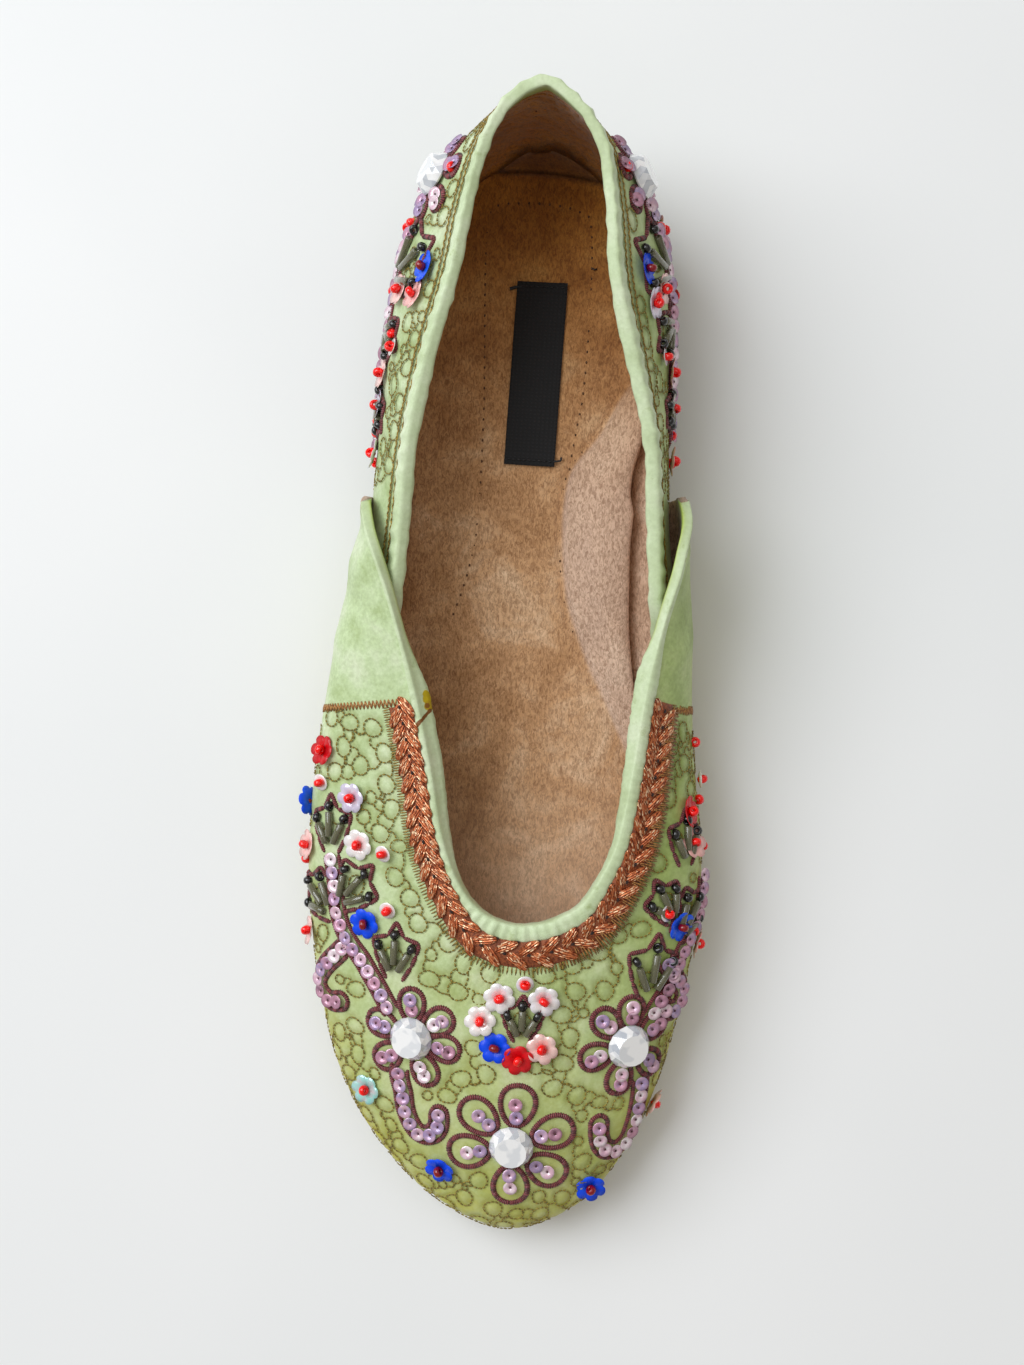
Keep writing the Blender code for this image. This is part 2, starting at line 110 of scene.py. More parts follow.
def curveAt(points, t):  # Catmull-Rom curve through the points, t counted from point to point
    last = len(points) - 1
    i = np.clip(t.astype(int), 0, last - 1)
    f = (t - i)[:, None]
    a, b, c, d = (points[np.clip(i + k, 0, last)] for k in (-1, 0, 1, 2))
    curve = 2 * b + (c - a) * f + (2 * a - 5 * b + 4 * c - d) * f**2
    return (curve + (3 * b - a - 3 * c + d) * f**3) / 2


def soleBottom(y):  # y in millimetres, in the last's own axes
    s = lastShape
    waist = s["heelHeight"] * smoothStep((y - s["flatBack"]) / (s["heelBreast"] - s["flatBack"]))
    spring = s["toeSpring"] * (np.minimum(y - s["flatFront"], 0) / (s["flatFront"] + s["length"] / 2)) ** 2
    return np.where(y >= s["flatBack"], waist, spring)


def soleTop(y):
    return soleBottom(y) + lastShape["soleThickness"]


class Panel:
    # One piece of the upper: t runs along its rows, v from the sole (0) to the top edge (1).

    def __init__(self, rows, fullness, lean, middle):
        share = np.array(rows, float) / 100
        self.lean = lean  # mm that the first and the last section stand off at the top
        self.middle = middle  # the row at the toe or at the heel
        s = lastShape
        rise = s["throatHeight"] + share[:, 6] * (s["collarHeight"] - s["throatHeight"])
        self.rows = np.stack([
            share[:, 1] * s["ballWidth"], (0.5 - share[:, 0]) * s["length"], share[:, 2] * s["throatHeight"],
            share[:, 3] * s["ballWidth"], share[:, 5] * s["ballWidth"], (0.5 - share[:, 4]) * s["length"], rise,
        ], axis=1)
        self.fullness = fullness
        self.last = len(rows) - 1
        self.shift = np.zeros(3)

    def headings(self, t):  # where the rows run to, seen from above
        ahead, behind = np.minimum(t + 0.05, self.last), np.maximum(t - 0.05, 0)
        run = (curveAt(self.rows, ahead) - curveAt(self.rows, behind))[:, :2]
        return run / np.linalg.norm(run, axis=1)[:, None]

    def guides(self, t):
        r, run = curveAt(self.rows, t), self.headings(t)
        widest = r[:, :3]
        feather = widest + np.stack([-run[:, 1], run[:, 0], 0 * t], axis=1) * r[:, 3:4]
        feather[:, 2] = soleTop(feather[:, 1]) + lastShape["gap"]
        return feather, widest, r[:, 4:7]

    def grid(self, ts, vs):  # metres, one row of points for each t
        ts, v = np.asarray(ts, float), np.asarray(vs, float)[None, :, None]
        feather, widest, edge = (g[:, None, :] for g in self.guides(ts))
        split, bendShare = lastShape["lowerShare"], lastShape["bendShare"]
        s = v / split
        bend = widest.copy()
        bend[..., 2] = bendShare * widest[..., 2] + (1 - bendShare) * feather[..., 2]
        low = feather * (1 - s) ** 2 + bend * 2 * s * (1 - s) + widest * s**2
        s = (v - split) / (1 - split)
        lift, reach, drop = self.fullness
        climb = (edge - widest) * np.array([0, 0, 1])
        first = widest + climb * lift
        second = edge - (edge - widest - climb) * reach - climb * drop
        high = widest * (1 - s) ** 3 + first * 3 * s * (1 - s) ** 2 + second * 3 * s**2 * (1 - s) + edge * s**3
        spots = np.where(v < split, low, high)
        spots += self.flare(ts) * v**2
        return spots * mm + self.shift

    def flare(self, ts):  # how far each section leans outward at its top edge
        first, last = lastShape["leanFade"]
        lean = self.lean[0] * smoothStep((first - ts) / first)
        lean = lean + self.lean[1] * smoothStep((ts - self.last + last) / last)
        run = self.headings(ts)
        return (np.stack([run[:, 1], -run[:, 0], 0 * ts], axis=1) * lean[:, None])[:, None, :]

    def normals(self, ts, vs):
        ts, vs = np.asarray(ts, float), np.asarray(vs, float)
        along = self.grid(np.minimum(ts + 0.02, self.last), vs) - self.grid(np.maximum(ts - 0.02, 0), vs)
        upward = self.grid(ts, np.minimum(vs + 0.01, 1)) - self.grid(ts, np.maximum(vs - 0.01, 0))
        n = np.cross(along, upward)
        return n / np.linalg.norm(n, axis=2)[..., None]

    def down(self, ts, distances):
        # Points and normals at distances (mm) below the top edge, along the outer face.
        ts, want = np.asarray(ts, float), np.asarray(distances, float) * mm
        vs = np.linspace(1, 0, 141)
        line, facing = self.grid(ts, vs), self.normals(ts, vs)
        walked = [walkedAlong(row) for row in line]
        spots, turned = (np.stack([pointsAt(want, far, row) for far, row in zip(walked, rows)])
                         for rows in (line, facing))
        onward = line[:, 0] - line[:, 2]
        onward /= np.linalg.norm(onward, axis=1)[:, None]
        spots += onward[:, None, :] * np.maximum(-want, 0)[None, :, None]
        return spots, turned / np.linalg.norm(turned, axis=2)[..., None]

    def even(self, span, pitch):  # rows between which the top edge has equal lengths
        fine = np.linspace(span[0], span[1], 900)
        walked = walkedAlong(self.grid(fine, [1.0])[:, 0])
        count = max(2, round(walked[-1] / (pitch * mm)))
        return np.interp(np.linspace(0, walked[-1], count + 1), walked, fine)


vamp = Panel(vampRows, (0.45, 0.50, 0.22), (0.9, 1.9), 11)
quarter = Panel(quarterRows, (0.50, 0.35, 0.32), (0.0, 0.0), 9)


def seatLast():
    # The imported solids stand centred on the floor, so the last moves by what its own box is off.
    coarse = [p.grid(np.arange(p.last * 3 + 1) / 3, np.linspace(0, 1, n + 1)).reshape(-1, 3)
              for p, n in ((vamp, 11), (quarter, 9))]
    low = np.concatenate(coarse).min(axis=0)
    shift = np.array(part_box("upper")[0]) - low
    shift[2] = 0.0
    vamp.shift = quarter.shift = shift
    return shift


shoeShift = seatLast()


def hexColor(code):
    parts = [int(code[i:i + 2], 16) / 255 for i in (1, 3, 5)]
    return tuple(c / 12.92 if c <= 0.04045 else ((c + 0.055) / 1.055) ** 2.4 for c in parts) + (1.0,)


def feed(tree, node, inputs):  # an input takes another node's output, a number or a hex colour
    for socket, value in inputs.items():
        if isinstance(value, bpy.types.NodeSocket):
            tree.links.new(value, node.inputs[socket])
        else:
            node.inputs[socket].default_value = hexColor(value) if isinstance(value, str) else value


def addNode(tree, kind, inputs, out=0, stops=(), **settings):
    # Adds a node and gives one of its outputs. The stops of a ramp are places and hex colours.
    node = tree.nodes.new("ShaderNode" + kind)
    for name, value in settings.items():
        setattr(node, name, value)
    feed(tree, node, inputs)
    if stops:
        elements = node.color_ramp.elements
        while len(elements) < len(stops):
            elements.new(0.5)
        for element, (place, code) in zip(elements, stops):
            element.position = place
            element.color = hexColor(code)
    return node.outputs[out]


def newMaterial(name, **inputs):
    material = bpy.data.materials.new(name)
    material.use_nodes = True
    shader = material.node_tree.nodes["Principled BSDF"]
    feed(material.node_tree, shader, {socket.replace("_", " "): value for socket, value in inputs.items()})
    return material, material.node_tree, shader


def finishPiece(name, bm, materials, replaced=(), smooth=True):
    mesh = bpy.data.meshes.new(name)
    bm.to_mesh(mesh)
    bm.free()
    return placePiece(name, mesh, materials, replaced, smooth)


def placePiece(name, mesh, materials, replaced=(), smooth=True):
    for material in materials:
        mesh.materials.append(material)
    if smooth:
        mesh.shade_smooth()
    piece = bpy.data.objects.new(name, mesh)
    bpy.context.scene.collection.objects.link(piece)
    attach(piece, "root")
    if replaced:
        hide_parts(*replaced)
    return piece


def gridPatch(bm, spots):
    # A patch of quads whose corners are the given rows of points.
    rows, columns = spots.shape[:2]
    made = bmesh.ops.create_grid(bm, x_segments=rows - 1, y_segments=columns - 1, size=1)["verts"]
    for vert in made:
        i = round((vert.co.x + 1) / 2 * (rows - 1))
        j = round((vert.co.y + 1) / 2 * (columns - 1))
        vert.co = spots[i, j]
    return made


def closeTube(bm, made):
    # Merges the seam of a patch that was rolled into a tube, and fills its two ends.
    bmesh.ops.remove_doubles(bm, verts=made, dist=0.002 * mm)
    alive = [v for v in made if v.is_valid]
    rim = {e for v in alive for e in v.link_edges if e.is_boundary}
    bmesh.ops.holes_fill(bm, edges=list(rim))
    faces = {f for v in alive for f in v.link_faces}
    bmesh.ops.recalc_face_normals(bm, faces=list(faces))


def stampCopies(name, template, places, material, tones=None):
    # One joined mesh with a copy of the template at each place (4 by 4 matrices).
    template.verts.index_update()
    corners = np.array([v.co for v in template.verts])
    faces = [[v.index for v in f.verts] for f in template.faces]
    places = np.array([np.array(place) for place in places])
    spots = np.einsum("nij,vj->nvi", places[:, :3, :3], corners) + places[:, None, :3, 3]
    count = len(corners)
    joined = [[k * count + i for i in face] for k in range(len(places)) for face in faces]
    mesh = bpy.data.meshes.new(name)
    mesh.from_pydata(spots.reshape(-1, 3).tolist(), [], joined)
    if tones is not None:
        tone = mesh.attributes.new("tone", "FLOAT", "POINT")
        tone.data.foreach_set("value", np.repeat(np.array(tones, np.float32), count))
    for key, axis in (("lengthwise", 0), ("crosswise", 1)):
        layer = mesh.attributes.new(key, "FLOAT", "POINT")
        layer.data.foreach_set("value", np.tile(corners[:, axis].astype(np.float32), len(places)) / mm)
    mesh.update()
    template.free()
    placePiece(name, mesh, [material])


def frameAt(spot, normal, heading, size=(1, 1, 1), lift=0.0):
    # X along the heading, Z along the normal, then scaled and lifted (mm).
    z = Vector(normal).normalized()
    x = Vector(heading)
    x = (x - z * x.dot(z)).normalized()
    y = z.cross(x)
    turn = Matrix((x, y, z)).transposed().to_4x4()
    return Matrix.Translation(Vector(spot) + z * lift * mm) @ turn @ Matrix.Diagonal((*size, 1))


def smoothCurve(points, perSpan=10):
    points = np.array(points, float)
    spans = len(points) - 1
    return curveAt(points, np.linspace(0, spans, spans * perSpan + 1))


def evenly(line, pitch):  # points of a line at even distances (mm), both ends kept
    line = np.array(line)
    walked = walkedAlong(line)
    count = max(1, round(walked[-1] / (pitch * mm)))
    return pointsAt(np.linspace(0, walked[-1], count + 1), walked, line)


def treeOf(points):
    tree = KDTree(len(points))
    for k, point in enumerate(points):
        tree.insert(point, k)
    tree.balance()
    return tree


class Skin:
    # The two outer faces of the upper as one surface to lay trims on.

    def __init__(self):
        corners, faces, self.params, normals, below = [], [], [], [], []
        perRow = 12  # sections from row to row
        for panel, heights in ((vamp, 60), (quarter, 48)):
            ts = np.linspace(0, panel.last, panel.last * perRow + 1)
            vs = np.linspace(0, 1, heights + 1)
            start = len(corners)
            spots = panel.grid(ts, vs)
            up = np.array([walkedAlong(row) for row in spots]) / mm
            below += np.stack([up[:, -1:] - up, up], axis=2).reshape(-1, 2).tolist()
            corners += spots.reshape(-1, 3).tolist()
            normals += panel.normals(ts, vs).reshape(-1, 3).tolist()
            self.params += [(panel, t, v) for t in ts for v in vs]
            wide = heights + 1
            lows = [start + i * wide + j for i in range(len(ts) - 1) for j in range(heights)]
            faces += [(k, k + wide, k + wide + 1, k + 1) for k in lows]
        self.corners, self.facing = np.array(corners), np.array(normals)
        self.edgeDistance = np.array(below)  # mm to the top edge and to the sole
        self.tree = BVHTree.FromPolygons(corners, faces)
        self.near = treeOf(corners)

    def normalAt(self, spot):
        total = np.zeros(3)
        for _, k, distance in self.near.find_n(spot, 4):
            total += self.facing[k] / (distance + 0.2 * mm)
        return Vector(total).normalized()

    def snap(self, spot):
        spot = self.tree.find_nearest(Vector(spot))[0]
        return spot, self.normalAt(spot)

    def snapAll(self, line):
        laid = [self.snap(spot) for spot in line]
        return np.array([spot for spot, _ in laid]), np.array([normal for _, normal in laid])

    def lay(self, place):  # (x, y) seen from above, or (x, y, z) near the surface, in mm
        if len(place) == 2:
            spot = self.tree.ray_cast(Vector((*place, 90)) * mm, Vector((0, 0, -1)))[0]
            return spot, self.normalAt(spot)
        return self.snap(Vector(place) * mm)

    def flip(self, places):  # the matching places on the shoe's other side, in mm
        flipped = []
        for place in places:
            panel, t, v = self.params[self.near.find(self.lay(place)[0])[1]]
            flipped.append(tuple(panel.grid([2 * panel.middle - t], [v])[0, 0] / mm))
        return tuple(flipped)


skin = Skin()
print("last and skin ready")


def runOn(places, pitch, sharp=False):
    # Spots, normals and headings at even distances along a line laid on the skin.
    spots = [skin.lay(p)[0] for p in places]
    line = np.array(spots) if sharp else smoothCurve(spots)
    line = skin.snapAll(evenly(line, 1.0))[0]
    spots, normals = skin.snapAll(evenly(line, pitch))
    headings = np.gradient(spots, axis=0)
    return spots, normals, headings / np.linalg.norm(headings, axis=1)[:, None]


def beside(run, distance):  # the same run moved sideways by so many mm, on the skin
    spots, normals, headings = run
    moved = spots + np.cross(normals, headings) * distance * mm
    return [tuple(p / mm) for p in moved]


def stoneMiddle(node):
    low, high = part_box(node)
    return (low + high) / 2


# The chart of the embroidery: all places are in mm.
heelPetals = (7.0, 2.9, 2.3, (30, 90, 150, 210, 270, 330), (6.3, 8.3))
flowerChart = dict(
    # stone: heading, reach of the petals' middles, half length, half width, petal angles, sequin distances
    stone_vamp_lateral=((1, 0, 0), 7.5, 3.9, 2.95, (92, 38, -8, -66, -139, 164), (6.6, 8.9)),
    stone_toe=((1, 0, 0), 9.8, 4.9, 3.85, (82, 23, -34, -93, -168, 141), (7.2, 10.2)),
    stone_vamp_medial=((1, 0, 0), 7.5, 3.9, 2.95, (84, 28, -42, -104, -168, 134), (6.6, 8.9)),
    stone_heel_lateral=((0, -1, 0), *heelPetals), stone_heel_medial=((0, 1, 0), *heelPetals),
)
petalShape = dict(turn=3, swell=0.18, wander=0.5, corners=24)  # turn in degrees, wander in mm

vineChart = dict(
    halfWidth=2.0, sequinPitch=2.95, pitch=0.5, clear=2.0,
    stemLateral=((-22.9, -74.4), (-24.2, -72.4), (-26.5, -68.6), (-28.5, -65.6), (-30.2, -63.0), (-32.5, -60.4),
                 (-34.4, -57.6), (-35.8, -54.5), (-36.6, -51.0), (-36.8, -47.8), (-37.2, -44.6), (-38.0, -40.0)),
    hookLateral=((-34.0, -60.0), (-36.4, -62.6), (-39.2, -65.4), (-41.0, -68.6), (-40.6, -71.4),
                 (-38.4, -73.8), (-35.4, -73.4)),
    scrollLateral=((-20.9, -86.6), (-21.2, -88.6), (-20.2, -92.6), (-19.8, -96.0), (-18.6, -99.4), (-16.6, -101.9),
                   (-14.0, -102.0), (-12.1, -100.2), (-11.8, -96.8)),
    scrollMedial=((32.4, -87.0, 19.4), (32.6, -89.0, 18.8), (31.9, -94.6, 17.4), (31.0, -98.4, 16.6),
                  (29.6, -101.9, 16.0), (27.2, -104.2, 17.0), (24.8, -103.4, 19.0), (23.8, -100.6, 20.5),
                  (23.8, -97.4, 21.6)),
    stemMedial=((34.4, -73.4, 22.0), (35.4, -71.4, 21.6), (37.5, -67.7, 20.7), (38.9, -64.3, 20.2),
                (40.1, -61.3, 19.7), (41.3, -58.2, 19.2), (42.7, -54.7, 17.7), (44.0, -50.5, 15.8),
                (44.5, -46.5, 15.0), (44.7, -42.0, 15.2)),
    quarterLateral=((-25.0, 99.5, 32.0), (-27.5, 93.5, 27.5), (-28.5, 87.0, 24.5), (-29.5, 80.0, 22.8),
                    (-30.0, 73.0, 21.5), (-30.5, 66.0, 20.0), (-31.0, 59.0, 19.0), (-31.3, 52.0, 18.5)),
    curlLateral=((-27.5, 95.0, 26.5), (-26.5, 98.5, 21.5), (-24.0, 103.0, 19.0), (-21.5, 106.5, 20.0),
                 (-21.5, 107.0, 23.5)),
)
for name in ("hook", "quarter", "curl"):
    vineChart[name + "Medial"] = skin.flip(vineChart[name + "Lateral"])

# foot of each fan, its far tip
fanChart = [((-22.4, -65.1), (-22.1, -56.6)), ((6.5, -77.4), (6.7, -70.4)),
            ((34.1, -67.3, 23.2), (35.4, -57.4, 24.2))]
vampFans = [((-35.2, -50.0), (-29.6, -43.6)), ((-38.4, -52.6, 21.4), (-43.8, -46.6, 17.0)),
            ((-38.2, -37.8), (-38.4, -29.0))]
quarterFans = [((-27.6, 90.0, 27.5), (-18.6, 92.5, 38.5)), ((-29.0, 78.0, 24.5), (-26.6, 73.5, 31.0)),
               ((-29.3, 82.0, 20.0), (-29.0, 76.0, 14.0)), ((-30.6, 62.0, 21.5), (-30.2, 56.5, 26.5))]
for fans in (vampFans, quarterFans):
    fanChart += fans + [skin.flip(fan) for fan in fans]

# colour of the sequin, place, lean away from the surface in degrees and the side it leans to
flowerSequins = [
    ("red", (-40.5, -16.7, 22.3), 10, 200), ("moon", (-40.7, -23.5), 20, 80),
    ("blue", (-43.9, -28.3, 18.0), 45, 150), ("lilac", (-33.0, -26.7), 6, 20), ("white", (-31.1, -37.0), 5, 60),
    ("moon", (-24.9, -38.4), 18, 10), ("pink", (-44.2, -38.6, 17.6), 12, 0), ("blue", (-29.3, -54.5), 8, 60),
    ("moon", (-23.8, -50.9), 16, 40), ("pink", (-43.8, -58.6, 15.0), 14, 20), ("aqua", (-29.0, -93.1), 8, 190),
    ("blue", (-11.5, -109.7), 10, 30), ("moon", (6.9, -65.2), 15, 90), ("white", (1.5, -68.8), 6, 120),
    ("white", (11.2, -68.9), 6, 60), ("white", (-2.6, -74.3), 8, 200), ("pink", (11.1, -79.8), 6, 300),
    ("blue", (0.8, -80.1), 6, 250), ("red", (5.7, -82.4), 8, 90), ("blue", (22.0, -113.0, 16.2), 24, 300),
    ("pink", (35.4, -94.3, 12.6), 16, 0), ("moon", (36.9, -49.5, 24.6), 12, 120),
    ("blue", (40.1, -52.6, 21.5), 12, 60), ("pink", (42.4, -34.7, 20.8), 22, 160),
    ("red", (41.2, -27.5, 22.0), 14, 60), ("moon", (43.5, -20.6, 15.2), 12, 40),
    ("pink", (44.3, -57.5, 14.0), 10, 0), ("blue", (-18.2, 88.1, 39.0), 12, 90),
    ("pink", (-24.8, 85.4, 30.6), 8, 0), ("pink", (-20.6, 83.0, 36.4), 10, 60),
    ("moon", (-25.4, 72.4, 31.6), 12, 90), ("pink", (-28.2, 68.0, 25.4), 8, 0),
    ("lilac", (-29.6, 61.0, 24.4), 8, 30), ("white", (-30.6, 50.5, 22.6), 10, 60),
    ("pink", (-24.6, 101.5, 22.0), 10, 0), ("red", (-29.6, 88.5, 18.5), 8, 0), ("blue", (28.4, 88.4, 37.6), 12, 60),
    ("pink", (31.8, 86.0, 31.0), 8, 0), ("lilac", (30.6, 82.0, 35.0), 8, 0), ("moon", (32.4, 71.3, 30.4), 12, 60),
    ("pink", (34.6, 69.8, 23.0), 8, 0), ("white", (34.7, 62.0, 22.0), 8, 0), ("pink", (34.8, 50.5, 20.5), 8, 0),
    ("pink", (30.5, 101.5, 21.0), 10, 0), ("red", (34.6, 88.5, 17.0), 8, 0),
]

# seed beads that stand alone
looseSeeds = [
    ("red", (-44.6, -41.8, 16.2)), ("red", (-12.6, 108.4, 42.6)), ("red", (-24.6, 101.8, 27.6)),
    ("red", (-26.6, 76.1, 30.0)), ("red", (-30.4, 61.4, 20.6)), ("red", (-31.0, 55.6, 21.2)),
    ("red", (-31.2, 49.3, 18.2)), ("red", (-30.3, 57.6, 24.0)), ("red", (42.6, -12.2, 17.4)),
    ("red", (44.9, -35.4, 16.0)), ("red", (44.2, -54.6, 17.6)), ("red", (43.4, -25.1, 16.5)),
    ("red", (23.9, 108.5, 42.4)), ("red", (31.0, 101.0, 25.5)), ("red", (31.4, 83.4, 34.0)),
    ("red", (34.9, 62.3, 18.2)), ("red", (35.0, 56.4, 18.6)), ("red", (35.0, 50.5, 16.4)),
    ("black", (-29.8, 65.0, 22.6)), ("black", (34.7, 65.2, 21.4)),
]

fanShape = dict(
    reach=8.5,  # the tables below are for a fan whose far tip is this far off
    bugles=(((0.0, 1.9), (0.0, 7.3)), ((-0.9, 0.4), (-3.3, 4.6)), ((1.0, 0.5), (3.4, 4.8))),
    seeds=((0.0, 8.5), (-3.9, 5.7), (4.0, 5.9)),
    leaf=((-1.9, -1.8), (-3.9, 1.6), (-5.0, 4.4), (-5.6, 7.0), (-1.9, 8.0), (0.0, 11.4), (1.9, 8.0), (5.6, 7.1),
          (5.0, 4.4), (3.9, 1.6), (1.9, -1.8)),
)


def petalSpot(local, turn, far, side):  # so far out along a petal, and so far to its side
    cos, sin = math.cos(turn), math.sin(turn)
    return local @ (Vector((cos * far - sin * side, sin * far + cos * side, 0)) * mm)


def chartFlowers(plan):
    # Petals of cord round each stone, with sequins down the middle of every petal.
    p = petalShape
    for stone, (heading, reach, halfLong, halfWide, angles, rows) in flowerChart.items():
        seat, normal = skin.snap(stoneMiddle(stone))
        local = frameAt(seat, normal, Vector(heading))
        for angle in angles:
            turn = math.radians(angle + chance.uniform(-p["turn"], p["turn"]))
            ring = []
            for k in range(p["corners"] + 1):
                a = math.tau * k / p["corners"]
                side = halfWide * math.sin(a) * (1 + p["swell"] * math.cos(a))
                ring.append(tuple(petalSpot(local, turn, reach + halfLong * math.cos(a), side) / mm))
            plan["cords"].append(("ring", ring))
            for row in rows:
                wander = chance.uniform(-p["wander"], p["wander"])
                spot, facing = skin.snap(petalSpot(local, turn, row, wander))
                plan["sequins"].append((spot, facing, Vector((-math.sin(turn), math.cos(turn), 0.1))))


def chartVines(plan):
    # Two cords side by side, with a row of sequins between them.
    v = vineChart
    runs = {name: runOn(points, v["pitch"]) for name, points in v.items() if isinstance(points, tuple)}
    for name, (spots, normals, headings) in runs.items():
        others = np.concatenate([r[0] for n, r in runs.items() if n != name])
        parts = [beside(runs[name], side) for side in (v["halfWidth"], -v["halfWidth"])]
        if name.startswith(("hook", "scroll", "curl")):  # the free end is closed by a round cap
            cap = []
            for k in range(1, 8):
                a = math.pi * k / 8
                side = np.cross(normals[-1], headings[-1]) * math.cos(a) + headings[-1] * math.sin(a)
                cap.append(tuple((spots[-1] + side * v["halfWidth"] * mm) / mm))
            parts = [parts[0] + cap + parts[1][::-1]]
        for part in parts:
            keep = [p for p in part if np.linalg.norm(others * 1000 - np.array(p), axis=1).min() > v["clear"]]
            if len(keep) > 4:
                plan["cords"].append(("open", keep[::3] + [keep[-1]]))
        step = round(v["sequinPitch"] / v["pitch"])
        for k in range(step // 2, len(spots), step):
            plan["sequins"].append((Vector(spots[k]), Vector(normals[k]), Vector(headings[k])))


def chartFans(plan):
    # Bugle beads spread like fingers, a black seed at each tip, inside a leaf of cord.
    for foot, tip in fanChart:
        base, normal = skin.lay(foot)
        ahead = skin.lay(tip)[0] - base
        size = ahead.length / (fanShape["reach"] * mm)
        x = ahead.cross(normal).normalized()
        local = frameAt(base, normal, x, (size, size, size))
        leaf, seeds, *bugles = ([skin.snap(local @ (Vector((*point, 0)) * mm)) for point in points]
                                for points in (fanShape["leaf"], fanShape["seeds"], *fanShape["bugles"]))
        corners = [tuple(spot / mm) for spot, _ in leaf]
        plan["cords"] += [("sharp", [a, b]) for a, b in zip(corners, corners[1:])]
        plan["bugles"] += [tuple(bugle) for bugle in bugles]
        plan["blackSeeds"] += [(*seed, x) for seed in seeds]


def chartSingles(plan):
    for colour, place, lean, side in flowerSequins:
        plan["moons" if colour == "moon" else "flowers"].append((colour, *skin.lay(place), lean, side))
    for colour, place in looseSeeds:
        plan["redSeeds" if colour == "red" else "blackSeeds"].append((*skin.lay(place), Vector((0, 0.3, 1))))


plan = {name: [] for name in ("cords", "sequins", "bugles", "blackSeeds", "redSeeds", "flowers", "moons")}
for chart in (chartFlowers, chartVines, chartFans, chartSingles):
    chart(plan)
print("embroidery charted:", {name: len(things) for name, things in plan.items()})

quiltShape = dict(
    radii=(2.2, 2.0, 1.75, 1.5, 1.25), spacing=1.1, stitch=1.05, thread=0.44, reachOfLinks=4.6,
    belowBraid=10.0, belowCollar=7.4, aboveSole=3.2, seamY=-9.0, wingEndY=43.0,
    # mm kept free round the middle of a sequin, a flower, a moon and a stone, and beside a cord
    sequinRoom=1.9, flowerRoom=2.9, moonRoom=1.8, stoneRoom=5.5, cordRoom=1.3, overlapAtTop=3,
    uneven=(0.07, 0.05), oval=0.12, lap=0.3, linksEach=3, linkLeftOut=0.6, linkBow=(0.3, 1.1), linkRoom=1.5,
    linkEnds=(0.75, 0.65),  # where a link starts on its pebble, as shares of the radius: ahead, to the side
)


def placePebbles(plan):
    # Puts down the largest pebbles first, wherever a shuffled list of places leaves room.
    q = quiltShape
    blocked = treeOf([Vector(spot) * mm for kind, line in plan["cords"] for spot in (
        np.array(line)[::2] if kind == "ring" else runOn(line, 1.2, True)[0] / mm)])
    solid = [(spot, q["sequinRoom"]) for spot, _, _ in plan["sequins"]]
    solid += [(spot, q["flowerRoom"]) for _, spot, _, _, _ in plan["flowers"]]
    solid += [(spot, q["moonRoom"]) for _, spot, _, _, _ in plan["moons"]]
    solid = [(np.array(spot), room) for spot, room in solid]
    solid += [(np.array(stoneMiddle(stone)), q["stoneRoom"]) for stone in flowerChart]
    onVamp = np.array([panel is vamp for panel, _, _ in skin.params])
    y = skin.corners[:, 1] / mm
    below, above = skin.edgeDistance.T
    topRoom = np.where(onVamp, q["belowBraid"], q["belowCollar"])
    free = np.where(onVamp, y < q["seamY"], y > q["wingEndY"]) & (below > topRoom) & (above > q["aboveSole"])
    for spot, room in solid:
        free &= np.linalg.norm(skin.corners - spot, axis=1) > room * mm
    candidates = [int(k) for k in np.nonzero(free)[0]]
    chance.shuffle(candidates)
    pebbles = []
    for radius in q["radii"]:
        for k in candidates:
            spot = skin.corners[k]
            if min(above[k], below[k] - topRoom[k] + q["overlapAtTop"]) < radius + 1:
                continue
            if blocked.find(spot)[2] < (radius + q["cordRoom"]) * mm:
                continue
            if any(np.linalg.norm(spot - p) < (radius + r + q["spacing"]) * mm for p, r in pebbles):
                continue
            if any(np.linalg.norm(spot - p) < (radius + r) * mm for p, r in solid):
                continue
            pebbles.append((spot, radius))
    return pebbles, blocked


